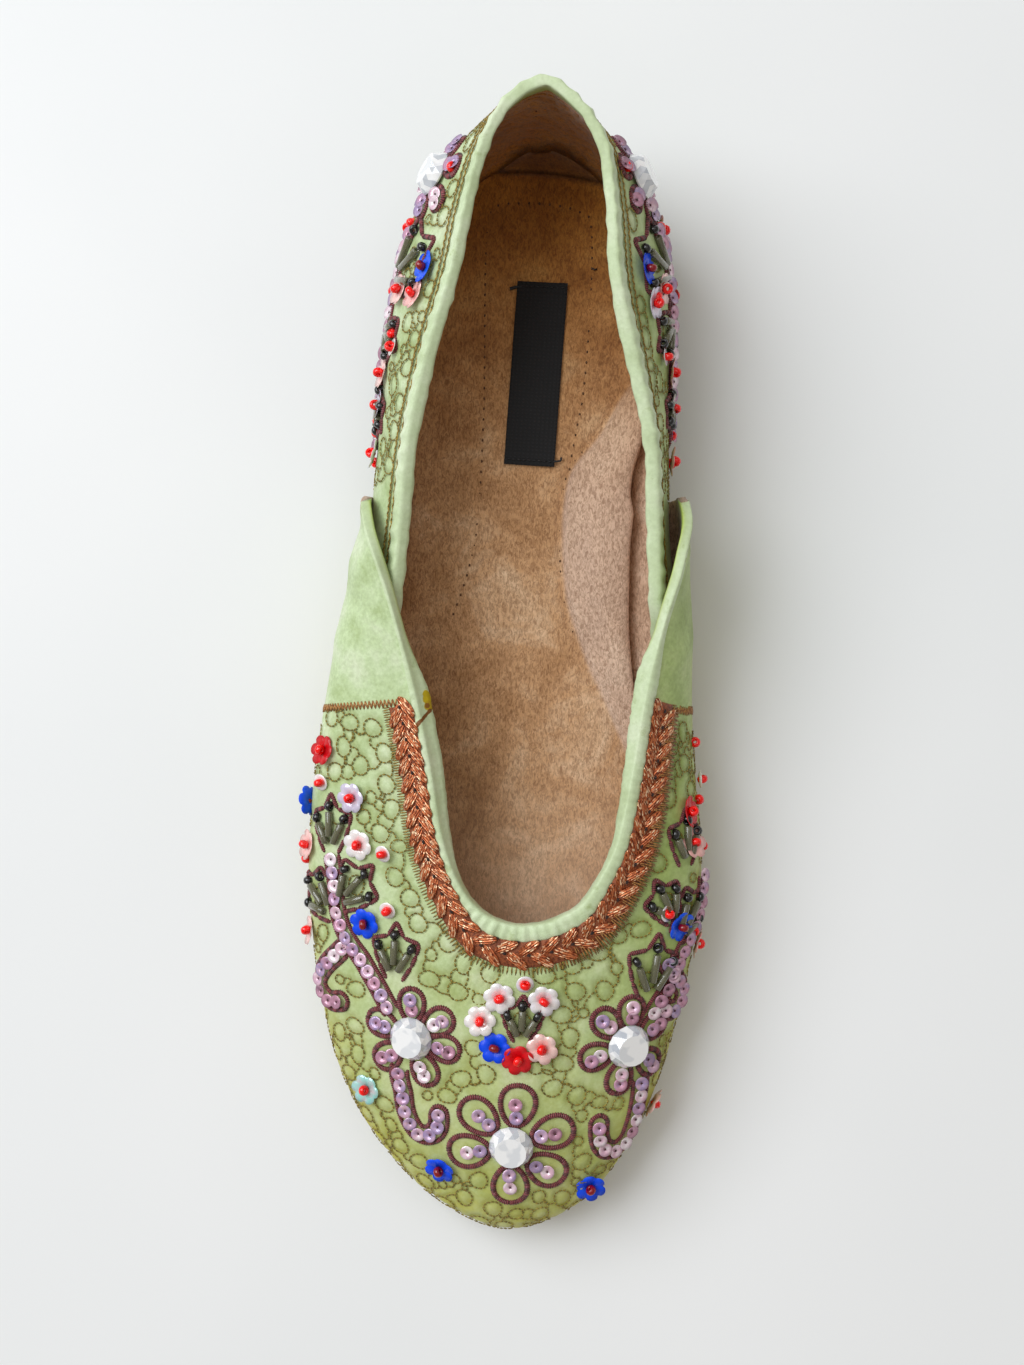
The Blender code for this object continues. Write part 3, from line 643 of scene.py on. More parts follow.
def chartQuilting(plan):
    # Pebbles of running stitch fill the ground between the motifs, joined by short bowed links.
    q = quiltShape
    pebbles, blocked = placePebbles(plan)
    stitches = []

    def sew(line):
        line = evenly(line, q["stitch"])
        for a, b in zip(line, line[1:]):
            stitches.append((*skin.snap((a + b) / 2), Vector(b - a)))

    for spot, radius in pebbles:
        local = frameAt(spot, skin.normalAt(spot), Vector((0, 1, 0.3)))
        start = chance.uniform(0, math.tau)
        wide, bent = chance.uniform(1 - q["oval"], 1 + q["oval"]), chance.uniform(0, math.tau)
        twice, thrice = q["uneven"]
        ring = []
        for a in np.linspace(start, start + math.tau + q["lap"], 19):
            far = radius * (1 + twice * math.sin(2 * a + bent) + thrice * math.sin(3 * a - bent))
            ring.append(local @ (Vector((math.cos(a) * far * wide, math.sin(a) * far / wide, 0)) * mm))
        sew(ring)
    for k, (spot, radius) in enumerate(pebbles):
        gaps = sorted((np.linalg.norm(p - spot) / mm - radius - r, i) for i, (p, r) in enumerate(pebbles) if i != k)
        for gap, i in gaps[:q["linksEach"]]:
            if gap > q["reachOfLinks"] or i < k and chance.random() < q["linkLeftOut"]:
                continue
            other, far = pebbles[i]
            ahead = Vector(other - spot).normalized()
            side = Vector(skin.normalAt(spot)).cross(ahead) * chance.choice((-1, 1))
            a = Vector(spot) + (ahead * q["linkEnds"][0] + side * q["linkEnds"][1]) * radius * mm
            b = Vector(other) + (side * q["linkEnds"][1] - ahead * q["linkEnds"][0]) * far * mm
            middle = (a + b) / 2 + side * chance.uniform(*q["linkBow"]) * mm
            if blocked.find(middle)[2] > q["linkRoom"] * mm:
                sew(smoothCurve([a, middle, b], 6))
    return len(pebbles), stitches


pebbleCount, plan["stitches"] = chartQuilting(plan)
print("quilting charted:", pebbleCount, "pebbles,", len(plan["stitches"]), "stitches")


# The patterns below are noise on the piece's own coordinates: size of its features in mm, detail, roughness.
# A colour mix has its own sockets after the ones for numbers and vectors: 6 and 7, and 2 for the result.


def finishSurface(tree, shader, color, *reliefs):  # height, strength and depth (mm) of each relief
    feed(tree, shader, {"Base Color": color})
    for height, strength, depth in reliefs:
        bump = {"Height": height, "Strength": strength, "Distance": depth * mm}
        if shader.inputs["Normal"].links:
            bump["Normal"] = shader.inputs["Normal"].links[0].from_socket
        feed(tree, shader, {"Normal": addNode(tree, "Bump", bump)})


def limeSatin(name, soilAndShade=True):
    # Polyester satin, woven with long floats: soft silky highlights, a fine grain, mottled by handling.
    material, tree, shader = newMaterial(name, Roughness=0.44, Sheen_Weight=0.1, Sheen_Roughness=0.4,
                                         Specular_IOR_Level=0.4)
    coords = addNode(tree, "TexCoord", {}, "Object")
    mottle, floats, patchy, soft, weave = (
        addNode(tree, "TexNoise", {
            "Vector": coords, "Scale": 1000 / size, "Detail": detail, "Roughness": rough}, "Fac")
        for size, detail, rough in ((9, 4, 0.6), (0.9, 2, 0.6), (7, 4, 0.7), (3.0, 3, 0.55), (0.5, 2, 0.6)))
    color = addNode(tree, "ValToRGB", {"Fac": mottle},
                    stops=((0.32, "#B2C68C"), (0.52, "#CDE0B0"), (0.70, "#DFEBC8")))
    grain = addNode(tree, "ValToRGB", {"Fac": floats}, stops=((0.30, "#C9CDBB"), (0.70, "#FFFFFF")))
    color = addNode(tree, "Mix", {0: 0.5, 6: color, 7: grain}, 2, data_type="RGBA", blend_type="MULTIPLY")
    if soilAndShade:  # painted shade with some soil in the ditches of the stitching, a little darker and greener towards the front, painted shade on the medial side, and patchy olive painted shade along the rim by the sole and at the toe
        sewn = addNode(tree, "Attribute", {}, "Fac", attribute_name="sewn")
        ditchShade = addNode(tree, "Math", {0: sewn, 1: 0.34}, operation="MULTIPLY")
        inward, ahead, up = (addNode(tree, "SeparateXYZ", {"Vector": coords}, axis) for axis in "XYZ")
        # masks: a greener front, painted shade on the medial side, and the toe and height ramps that place the
        # painted shade along the rim
        forwardTint, medialShade, toe, high = (
            addNode(tree, "MapRange", {"Value": axis, "From Min": none * mm, "From Max": full * mm, "To Max": most},
                    interpolation_type=kind)
            for axis, none, full, most, kind in (
                (ahead, 0, -30, 0.15, "LINEAR"), (inward, 18, 36, 0.7, "LINEAR"),
                (ahead, -40, -125, 1.0, "SMOOTHSTEP"), (up, 8, 22, 1.0, "SMOOTHSTEP")))
        low = addNode(tree, "Math", {0: 1.0, 1: high}, operation="SUBTRACT")
        # painted shade low on the rim by the sole and at the toe, made patchy below
        shadedZone = addNode(tree, "Math", {0: toe, 1: 0.5, 2: low}, operation="MULTIPLY_ADD")
        uneven = addNode(tree, "Math", {0: patchy, 1: 1.5}, operation="MULTIPLY")
        rimShade = addNode(tree, "Math", {0: shadedZone, 1: uneven}, operation="MULTIPLY", use_clamp=True)
        for share, tint, blend in ((ditchShade, "#8C8820", "MIX"), (forwardTint, "#B4C474", "MIX"),
                                   (medialShade, "#DCE49C", "MULTIPLY"), (rimShade, "#BAB018", "MIX")):
            color = addNode(tree, "Mix", {0: share, 6: color, 7: tint}, 2, data_type="RGBA", blend_type=blend)
    finishSurface(tree, shader, color, (soft, 0.25, 0.35), (weave, 0.35, 0.06))
    return material


def bindingSatin(name, stain):
    # The same satin cut on the bias and folded: paler, rubbed on its crown, and stained by glue at one end.
    material = limeSatin(name, soilAndShade=False)
    tree = material.node_tree
    shader = tree.nodes["Principled BSDF"]
    coords = addNode(tree, "TexCoord", {}, "Object")
    rubs, wobble = (
        addNode(tree, "TexNoise", {
            "Vector": coords, "Scale": 1000 / size, "Detail": detail, "Roughness": rough}, "Fac")
        for size, detail, rough in ((5, 5, 0.7), (1.2, 3, 0.6)))
    rubbed = addNode(tree, "ValToRGB", {"Fac": rubs}, stops=((0.60, "#FFFFFF"), (0.72, "#C6CBA0")))
    # painted shade, olive green, deep inside the fold
    foldShade = addNode(tree, "Attribute", {}, "Fac", attribute_name="foldShade")
    washes = [(0.35, "#DCE9C8", "MIX"), (0.6, rubbed, "MULTIPLY"), (foldShade, "#A9BC58", "MIX")]
    for place, inner, outer, code in stain:
        far = addNode(tree, "VectorMath", {0: coords, 1: Vector(place) * mm}, "Value", operation="DISTANCE")
        near = addNode(tree, "MapRange", {
            "Value": far, "From Min": inner * mm, "From Max": outer * mm, "To Min": 1.0, "To Max": 0.0,
        }, interpolation_type="SMOOTHSTEP")
        both = addNode(tree, "Math", {0: near, 1: wobble}, operation="ADD")
        mask = addNode(tree, "MapRange", {"Value": both, "From Min": 0.85, "From Max": 1.1})
        washes.append((mask, code, "MIX"))
    color = shader.inputs["Base Color"].links[0].from_socket
    for share, tint, blend in washes:
        color = addNode(tree, "Mix", {0: share, 6: color, 7: tint}, 2, data_type="RGBA", blend_type=blend)
    finishSurface(tree, shader, color)
    return material


def tanSuede(name, tones, heelShadeTint):
    # Knitted microsuede with a brushed nap: matt, soft edged, every stroke leaves it lighter or darker.
    material, tree, shader = newMaterial(name, Roughness=0.95, Sheen_Weight=0.35, Sheen_Roughness=0.6,
                                         Specular_IOR_Level=0.15)
    coords = addNode(tree, "TexCoord", {}, "Object")
    lengthened = addNode(tree, "Mapping", {"Vector": coords, "Scale": (1.0, 0.42, 1.0)})
    strokes, nap, soft = (
        addNode(tree, "TexNoise", {"Vector": where, "Scale": 1000 / size, "Detail": detail, "Roughness": rough,
                                   "Distortion": bent}, "Fac")
        for where, size, detail, rough, bent in ((coords, 14, 5, 0.62, 0.4), (lengthened, 0.55, 3, 0.7, 1.0),
                                                 (coords, 6, 3, 0.5, 0.0)))
    color = addNode(tree, "ValToRGB", {"Fac": strokes}, stops=list(zip((0.30, 0.52, 0.75), tones)))
    brushed = addNode(tree, "ValToRGB", {"Fac": nap}, stops=((0.36, "#A8988A"), (0.60, "#FFFFFF")))
    padLight, inCove, heelLine = (addNode(tree, "Attribute", {}, "Fac", attribute_name=key)
                               for key in ("padLight", "inCove", "heelLine"))
    back = addNode(tree, "SeparateXYZ", {"Vector": coords}, "Y")
    shadedZone, toeLight = (
        addNode(tree, "MapRange", {"Value": back, "From Min": none * mm, "From Max": full * mm, "To Max": most},
                interpolation_type="SMOOTHSTEP")
        for none, full, most in ((30, 115, 1.0), (-10, -90, 0.6)))
    # painted light, pale and pink, over the pad; painted shade, brown, towards the heel; painted light under the
    # toes; painted shade in the cove and along its line
    for share, tint, blend in ((padLight, "#E8CDBB", "MIX"), (0.8, brushed, "MULTIPLY"), (shadedZone, heelShadeTint, "MULTIPLY"),
                               (toeLight, "#F4D6BA", "MIX"), (inCove, "#B4A890", "MULTIPLY"),
                               (heelLine, "#4A3420", "MULTIPLY")):
        color = addNode(tree, "Mix", {0: share, 6: color, 7: tint}, 2, data_type="RGBA", blend_type=blend)
    finishSurface(tree, shader, color, (nap, 0.5, 0.22), (soft, 0.3, 0.5))
    return material


def threadMaterial(name, dark, light, shine=0.35, metal=0.0, size=0.5):
    # Twisted embroidery thread: every strand catches the light along its crown.
    material, tree, shader = newMaterial(name, Roughness=shine, Metallic=metal, Sheen_Weight=0.1)
    coords = addNode(tree, "TexCoord", {}, "Object")
    strands, twist = (
        addNode(tree, "TexNoise", {"Vector": coords, "Scale": 1000 / wide, "Roughness": 0.6}, "Fac")
        for wide in (size, size * 0.6))
    color = addNode(tree, "ValToRGB", {"Fac": strands}, stops=((0.35, dark), (0.65, light)))
    finishSurface(tree, shader, color, (twist, 0.4, 0.1))
    return material


def satinStitchThread(name, dark, light):
    # Rayon thread laid side by side across the cord: each turn of 0.42 mm shows as a rib.
    material, tree, shader = newMaterial(name, Roughness=0.42, Sheen_Weight=0.15, Specular_IOR_Level=0.45)
    along = addNode(tree, "Attribute", {}, "Fac", attribute_name="along")
    coords = addNode(tree, "TexCoord", {}, "Object")
    loose = addNode(tree, "TexNoise", {"Vector": coords, "Scale": 1000 / 0.8, "Detail": 1.0}, "Fac")
    jitter = addNode(tree, "Math", {0: loose, 1: 0.35}, operation="MULTIPLY")
    moved = addNode(tree, "Math", {0: along, 1: jitter}, operation="ADD")
    turns = addNode(tree, "Math", {0: moved, 1: math.tau / 0.42}, operation="MULTIPLY")
    ribs = addNode(tree, "Math", {0: turns}, operation="SINE")
    shade = addNode(tree, "MapRange", {"Value": ribs, "From Min": -1.0, "From Max": 1.0})
    color = addNode(tree, "ValToRGB", {"Fac": shade}, stops=((0.1, dark), (0.8, light)))
    finishSurface(tree, shader, color, (ribs, 0.7, 0.12))
    return material


def copperPlait(name):
    # Flat foil yarn in copper colour, plaited: hundreds of tiny facets of 0.24 mm, each painted bright as a glint or
    # dark as in shade.
    material, tree, shader = newMaterial(name, Roughness=0.34, Metallic=0.55)
    strands, length, tone = (addNode(tree, "Attribute", {}, "Fac", attribute_name=key)
                             for key in ("crosswise", "lengthwise", "tone"))
    drawn = addNode(tree, "Math", {0: length, 1: 0.38}, operation="MULTIPLY")
    coords = addNode(tree, "CombineXYZ", {"X": drawn, "Y": strands, "Z": tone})
    cells = addNode(tree, "TexVoronoi", {"Vector": coords, "Scale": 1 / 0.24, "Randomness": 1.0}, "Color")
    spark = addNode(tree, "SeparateColor", {"Color": cells}, "Red")
    color = addNode(tree, "ValToRGB", {"Fac": spark},
                    stops=((0.08, "#702E14"), (0.36, "#B85E34"), (0.74, "#D07A4A"), (0.92, "#FFD8AE")))
    twist = addNode(tree, "Math", {0: strands, 1: 13.0}, operation="MULTIPLY")
    wave = addNode(tree, "Math", {0: twist}, operation="SINE")
    finishSurface(tree, shader, color, (wave, 0.6, 0.12), (spark, 0.5, 0.1))
    return material


def pearlSequin(name, codes, roughness=0.22, metal=0.15, coat=0.5):
    # Stamped film with a pearl coat: its tint shifts from sequin to sequin and in soft patches across each.
    material, tree, shader = newMaterial(name, Roughness=roughness, Metallic=metal, Coat_Weight=coat,
                                         Coat_Roughness=0.08, Specular_IOR_Level=0.3 + 0.8 * coat)
    tone = addNode(tree, "Attribute", {}, "Fac", attribute_name="tone")
    coords = addNode(tree, "TexCoord", {}, "Object")
    pearl = addNode(tree, "TexNoise", {"Vector": coords, "Scale": 1000 / 1.6, "Detail": 1.0}, "Fac")
    shifted = addNode(tree, "Math", {0: tone, 1: pearl}, operation="ADD")
    factor = addNode(tree, "Math", {0: shifted, 1: 0.62}, operation="MULTIPLY")
    stops = [(k / (len(codes) - 1), code) for k, code in enumerate(codes)]
    finishSurface(tree, shader, addNode(tree, "ValToRGB", {"Fac": factor}, stops=stops))
    return material


def glassBead(name, code, roughness=0.12, through=0.0, coat=0.3):
    # Pressed glass: body colour through the wall, sharp small highlights.
    return newMaterial(name, Base_Color=code, Roughness=roughness, Transmission_Weight=through, IOR=1.52,
                       Coat_Weight=coat, Coat_Roughness=0.04)[0]


satin = limeSatin("limePolyesterSatinWoven")
glueTrail = evenly(smoothCurve([Vector(spot) * mm for spot in (
    (-15.5, -6.8, 31.4), (-16.3, -7.8, 32.0), (-16.8, -8.5, 32.5), (-17.35, -9.2, 33.0), (-17.9, -9.9, 33.0),
    (-18.4, -10.6, 32.0))], 4), 0.4)
trimSatin = bindingSatin("limeSatinBiasFolded", [  # places of the glue, inner and outer radius, colour
    ((-16.4, -3.2, 31.5), 0.3, 1.5, "#C4AC14"), ((-16.1, -4.4, 31.3), 0.5, 2.0, "#C4AC14"),
    ((-15.9, -5.7, 31.4), 0.4, 1.8, "#B89A18"), ((-16.1, -5.7, 31.6), 0.1, 1.1, "#8A5A1C"),
    *((spot / mm, 0.05, 0.8, "#7C4C1C") for spot in glueTrail)])
# the last colour of each suede is its painted shade towards the heel
suede = tanSuede("tanMicrosuedeBrushed", ("#B48456", "#D6A87B", "#F0CEA9"), "#DABA66")
lining = tanSuede("tanMicrosuedeLining", ("#B08A6C", "#D0AC90", "#E4CAB2"), "#EABA4C")
copper = copperPlait("copperFoilYarnPlaited")
chainThread = threadMaterial("ochreThreadChainStitch", "#6E5818", "#B0903C", 0.5, 0.1)
knotThread = threadMaterial("plumThreadKnots", "#3A1620", "#5A2832", 0.5)
copperThread = threadMaterial("copperThreadOverlocked", "#7E4A20", "#C08C4C", 0.45, 0.25)
combThread = threadMaterial("ochreThreadOverlocked", "#68541A", "#AE9248", 0.5, 0.1)
goldThread = threadMaterial("oldGoldThreadSewn", "#5C4E10", "#A48E34", 0.5, 0.1)
labelThread = threadMaterial("blackPolyesterThread", "#08080A", "#1E1E22", 0.5)
suedeShade = threadMaterial("suedeInShade", "#4A3018", "#6A4A2C", 0.9)
braidShade = threadMaterial("copperYarnShaded", "#6E3218", "#A85C34", 0.55, 0.2)
# the holes of the braid are dark dashes of painted shade
braidHoleShade = threadMaterial("shadeInCopperYarnHoles", "#22100A", "#34180E", 0.8)
plumThread = satinStitchThread("plumRayonSatinStitch", "#461418", "#96464A")
shellPearl = pearlSequin("pinkPearlCupSequin", ("#94687E", "#D89EB6", "#AC96C0", "#EABED0", "#FFF6FA"))
whitePearl = pearlSequin("whitePearlSequin", ("#F2E2DC", "#FFFAF8", "#E8E0F0"))
films = dict(
    red=pearlSequin("redSequin", ("#A80410", "#D80A18", "#F41C28"), 0.35, 0.0, 0.15),
    blue=pearlSequin("royalBlueSequin", ("#0038D8", "#0050F8", "#0A6CFF"), 0.4, 0.0, 0.1),
    white=whitePearl,
    pink=pearlSequin("palePinkPearlSequin", ("#F4A8A4", "#FAC4BC", "#FFE8E2")),
    lilac=pearlSequin("lilacPearlSequin", ("#C4B4D8", "#DCD2EA", "#F2EEF6")),
    aqua=pearlSequin("aquaPearlSequin", ("#6CD6CC", "#A6EAE2", "#F2B8C6")),
    moon=whitePearl,
)
seedGlass = dict(
    red=glassBead("redGlassSeedBead", "#FF0A04"), wine=glassBead("wineRedGlassSeedBead", "#8A0210"),
    black=glassBead("blackGlassSeedBead", "#0B0B0D", coat=0.6),
)
smokeGlass = glassBead("smokeGreenGlassBugleBead", "#8C8A6C", 0.06, 0.55, 0.6)
print("materials ready")


def dashes(name, spots, normals, headings, size, material, slot, turn=0.0):
    # A row of short stitches: length, width and height in mm, each turned by so many degrees in turn.
    bm = bmesh.new()
    bmesh.ops.create_icosphere(bm, subdivisions=1, radius=0.5 * mm)
    bmesh.ops.scale(bm, vec=size, verts=bm.verts[:])
    places = []
    for k, (spot, normal, heading) in enumerate(zip(spots, normals, headings)):
        swing = Matrix.Rotation(math.radians(turn if k % 2 else -turn), 4, "Z")
        places.append(frameAt(spot, normal, heading, lift=size[2] * 0.15) @ swing)
    stampCopies(name, bm, places, material)


# rows of chain stitch under the collar: mm below the edge
edgeRows = dict(collarStitchUpper=3.9, collarStitchLower=5.8)
edgeStitch = dict(span=(0.5, 17.5), pitch=0.8, size=(1.5, 0.5, 0.4), turn=35)

upperDress = dict(
    vampGrid=(470, 88), quarterGrid=(396, 64), wall=lastShape["wall"], evenAt=0.35, dip=0.46, reach=0.7,
    pulled=0.95, clearOfSole=0.04,
    pleatPitch=5.5, pleat=0.3, pleatHigh=0.12, pleatFrom=-30, pleatFade=25,
)

# soft creases, listed one by one: places in mm, height (a trough is negative) and half width in mm
creases = (
    (((-33.5, 3.0, 31.0), (-36.5, 7.0, 27.0), (-38.5, 9.0, 20.0)), 0.55, 3.2),
    (((-32.0, 14.0, 33.0), (-35.5, 17.0, 29.0), (-38.0, 19.0, 22.0)), -0.5, 2.6),
    (((-33.5, 24.0, 35.0), (-36.0, 25.5, 29.0), (-37.2, 27.0, 21.0)), 0.6, 3.0),
    (((-34.0, 31.0, 35.0), (-35.6, 33.5, 28.0), (-36.2, 35.5, 20.0)), -0.45, 2.4),
    (((-34.6, 37.0, 33.0), (-35.2, 39.0, 27.0)), 0.4, 2.0),
    (((37.0, 3.0, 32.0), (40.5, 8.0, 26.0), (42.5, 12.0, 19.0)), 0.5, 3.2),
    (((39.5, 16.0, 34.0), (41.5, 20.0, 28.0), (42.2, 23.0, 20.0)), -0.45, 2.6),
    (((40.5, 26.0, 36.0), (41.2, 30.0, 29.0)), 0.45, 2.4),
    (((-21.0, -34.0), (-24.0, -40.0), (-27.0, -45.0)), -0.4, 3.5),
    (((29.0, -37.0), (30.0, -44.0), (31.0, -50.0)), -0.4, 3.5),
    (((-2.0, -66.0), (-2.5, -74.0), (-1.5, -82.0)), 0.35, 5.0),
    (((-33.0, -78.0), (-35.5, -74.0), (-38.5, -71.0)), -0.35, 2.6),
    (((36.0, -80.0, 17.0), (38.5, -76.0, 15.0), (40.5, -71.0, 13.0)), -0.35, 2.6),
    (((-29.0, 62.0, 34.0), (-30.2, 63.0, 26.0), (-30.6, 64.0, 16.0)), -0.4, 3.0),
    (((33.0, 64.0, 33.0), (34.4, 65.0, 25.0), (34.6, 66.0, 16.0)), -0.4, 3.0),
    (((-22.0, 99.0, 38.0), (-25.0, 99.5, 29.0), (-26.0, 99.0, 19.0)), -0.35, 2.4),
    (((27.5, 99.0, 37.0), (30.0, 99.5, 28.0), (31.0, 99.0, 18.0)), -0.35, 2.4),
)


def creaseRelief(spots):
    relief = np.zeros(len(spots))
    for places, height, wide in creases:
        line = smoothCurve([skin.lay(p)[0] for p in places], 8)
        fade = np.sin(np.pi * np.linspace(0.06, 0.94, len(line))) ** 0.6
        near = np.linalg.norm(spots[:, None, :] - line[None, :, :], axis=2) / mm
        relief += height * (fade * bell(near, wide)).max(axis=1)
    return relief


def edgeRow(below):
    spots, normals = quarter.down(quarter.even(edgeStitch["span"], edgeStitch["pitch"]), [below])
    return spots[:, 0], normals[:, 0]


def dressUpper():
    d = upperDress
    # where the thread pulls the satin down
    sewn = [spot for spot, _, _ in plan["stitches"]] + [spot for spot, _, _ in plan["sequins"]]
    for below in edgeRows.values():
        sewn += list(edgeRow(below)[0])
    sewn = treeOf(sewn)
    for name, panel, cuts in (("vampSatin", vamp, d["vampGrid"]), ("quarterSatin", quarter, d["quarterGrid"])):
        fine = np.linspace(0, panel.last, 1200)
        walked = walkedAlong(panel.grid(fine, [d["evenAt"]])[:, 0])
        ts = np.interp(np.linspace(0, walked[-1], cuts[0] + 1), walked, fine)
        vs = np.linspace(0, 1, cuts[1] + 1)
        spots, normals = panel.grid(ts, vs), panel.normals(ts, vs)
        flat = spots.reshape(-1, 3)
        near = np.array([sewn.find(p)[2] for p in flat]) / mm
        relief = (creaseRelief(flat) - d["dip"] * bell(near, d["reach"])).reshape(len(ts), len(vs))
        # small pleats where the edge is drawn in over the sole
        foot = spots[:, 0]
        walked = walkedAlong(foot) / mm
        stops = np.arange(0, walked[-1] + d["pleatPitch"], d["pleatPitch"] / 2)
        heights = np.random.default_rng(3).uniform(-1, 1, len(stops))
        pleats = np.interp(walked, stops, heights) * smoothStep((d["pleatFrom"] - foot[:, 1] / mm) / d["pleatFade"])
        relief = relief + d["pleat"] * pleats[:, None] * bell(vs, d["pleatHigh"])[None, :]
        bm = bmesh.new()
        # how much painted shade, with some soil, the satin takes beside the stitching
        ditchShade = bm.verts.layers.float.new("sewn")
        pulled = bell(near, d["pulled"]).reshape(len(ts), len(vs)) * (vs > d["clearOfSole"])
        for k, vert in enumerate(gridPatch(bm, spots + normals * relief[..., None] * mm)):
            vert[ditchShade] = pulled[k % len(ts), k // len(ts)]
        piece = finishPiece(name, bm, [satin, lining], ["upper"])
        wall = piece.modifiers.new("wall", "SOLIDIFY")
        wall.thickness = d["wall"] * mm
        wall.offset = -1
        wall.material_offset = wall.material_offset_rim = 1


dressUpper()
print("upper dressed")

# Bias strips folded over the edges, in mm: leg on the outer face and crown (each at the lateral side, the
# middle and the medial side), roll over the foot at the two sides, gathers.
bindingDress = dict(
    throat=dict(panel=vamp, span=(0.02, 22.98), leg=(1.1, 3.1, 2.3), crown=(0.6, 0.62, 0.6), roll=(1.0, 0.7),
                gather=0.6, gatherPitch=2.1, folded=(3.2, 19.2), calmSides=True),
    collar=dict(panel=quarter, span=(0.3, 17.6), leg=(2.9, 2.3, 2.9), crown=(0.85, 0.38, 0.85), roll=(0.0, 0.0),
                gather=0.42, gatherPitch=4.2, folded=(-9, 99), calmSides=False),
    step=0.6, wall=lastShape["wall"], innerLeg=4.0, wingCrown=0.3, foldFade=0.8,
    # in rows from the middle of the run: where each begins or ends, and over how many rows
    middleTo=(5.2, 2.6), calmFrom=(5.5, 2.5), rollFrom=(4.6, 3.4), liftPerRoll=2.2, insideShare=0.6,
)


def bindingSize(settings, key, ts):  # on its lateral side, at the middle of its run, on its medial side
    first, middle, last = settings[key]
    half = settings["panel"].last / 2
    side = np.where(ts < half, first, last)
    end, fade = bindingDress["middleTo"]
    return side + (middle - side) * smoothStep((end - np.abs(ts - half)) / fade)


def bindingSection(leg, crown, inner, lift, wall, innerLeg):
    # distance below the edge and height off the outer face: up the leg, over the crown, down inside
    return [
        (leg, -0.2), (leg, 0.12), (leg * 0.96, crown * 0.55), (leg * 0.85, crown * 0.85), (leg * 0.6, crown),
        (leg * 0.3, crown * 0.98), (-crown * 0.3, crown * 0.8), (-crown * 0.85, crown * 0.25),
        (-crown, -wall * 0.25), (-crown - lift * 0.5, inner * 0.62), (-crown * 0.95 - lift * 0.8, inner * 0.86),
        (-crown * 0.45 - lift * 0.85, inner * 0.99), (0.8 - lift * 0.4, inner), (innerLeg * 0.5, inner),
        (innerLeg * 0.9, -wall - 0.3), (innerLeg, -wall + 0.2),
    ]


def foldBinding(name, settings, node, seed):
    b, d = settings, bindingDress
    panel, wall, fade = b["panel"], d["wall"], d["foldFade"]
    ts = panel.even(b["span"], d["step"])
    half = panel.last / 2
    draws = np.random.default_rng(seed)
    walked = np.arange(len(ts)) * d["step"]
    stops = np.arange(0, walked[-1] + 9, b["gatherPitch"] / 2)
    upAndDown = np.tile((1, -1), len(stops))[:len(stops)]
    outer = np.interp(walked, stops, draws.uniform(0.3, 1, len(stops)) * upAndDown)
    inside = np.interp(walked, stops, draws.uniform(-1, 1, len(stops)))
    fromMiddle = np.abs(ts - half)
    end, calmFade = d["calmFrom"]
    calm = 0.3 + 0.7 * smoothStep((end - fromMiddle) / calmFade) if b["calmSides"] else 1.0
    low, high = b["folded"]
    folded = within(ts, low - fade, fade, high + fade, fade)
    leg = bindingSize(b, "leg", ts) * (0.55 + 0.45 * folded)
    crown = d["wingCrown"] + (bindingSize(b, "crown", ts) - d["wingCrown"]) * folded
    begin, rollFade = d["rollFrom"]
    # how far the topline leans in over the foot
    roll = smoothStep((fromMiddle - begin) / rollFade) * np.where(ts < half, *b["roll"]) * (0.2 + 0.8 * folded)
    inner = -wall - 0.15 - (crown - 0.15) * (0.35 + 0.65 * folded) - roll
    ring = bindingSection(leg, crown, inner, d["liftPerRoll"] * roll, wall, d["innerLeg"])
    below, offs = (np.stack([pair[k] + 0 * ts for pair in ring], axis=1) for k in (0, 1))
    leg, folded = leg[:, None], folded[:, None]
    gathers = (b["gather"] * calm * outer)[:, None] * bell(below - leg * 0.5, leg * 0.7)
    offs = offs + gathers * (offs > 0.25) * folded
    offs = offs + b["gather"] * inside[:, None] * (offs < -wall - 0.25) * folded * d["insideShare"]
    reach = np.arange(-3.6, 6.6, 0.1)
    spots = np.stack([pointsAt(want, reach, base) + pointsAt(want, reach, facing) * off[:, None] * mm
                      for want, off, base, facing in zip(below, offs, *panel.down(ts, reach))])
    bm = bmesh.new()
    foldShade = bm.verts.layers.float.new("foldShade")  # how deep in the fold, for the painted shade inside it
    made = gridPatch(bm, np.concatenate([spots, spots[:, :1]], axis=1))
    for k, vert in enumerate(made):
        row, section = k % len(ts), k // len(ts)
        deep = (section - 8.5 - 2.5 * folded[row, 0]) * 0.4
        vert[foldShade] = min(max(deep, 0), 1) if section < len(ring) else 0
    closeTube(bm, made)
    finishPiece(name, bm, [trimSatin], [node])


foldBinding("throatBindingSatin", bindingDress["throat"], "throat_binding", 11)
foldBinding("collarBindingSatin", bindingDress["collar"], "collar_binding", 12)
print("bindings folded")

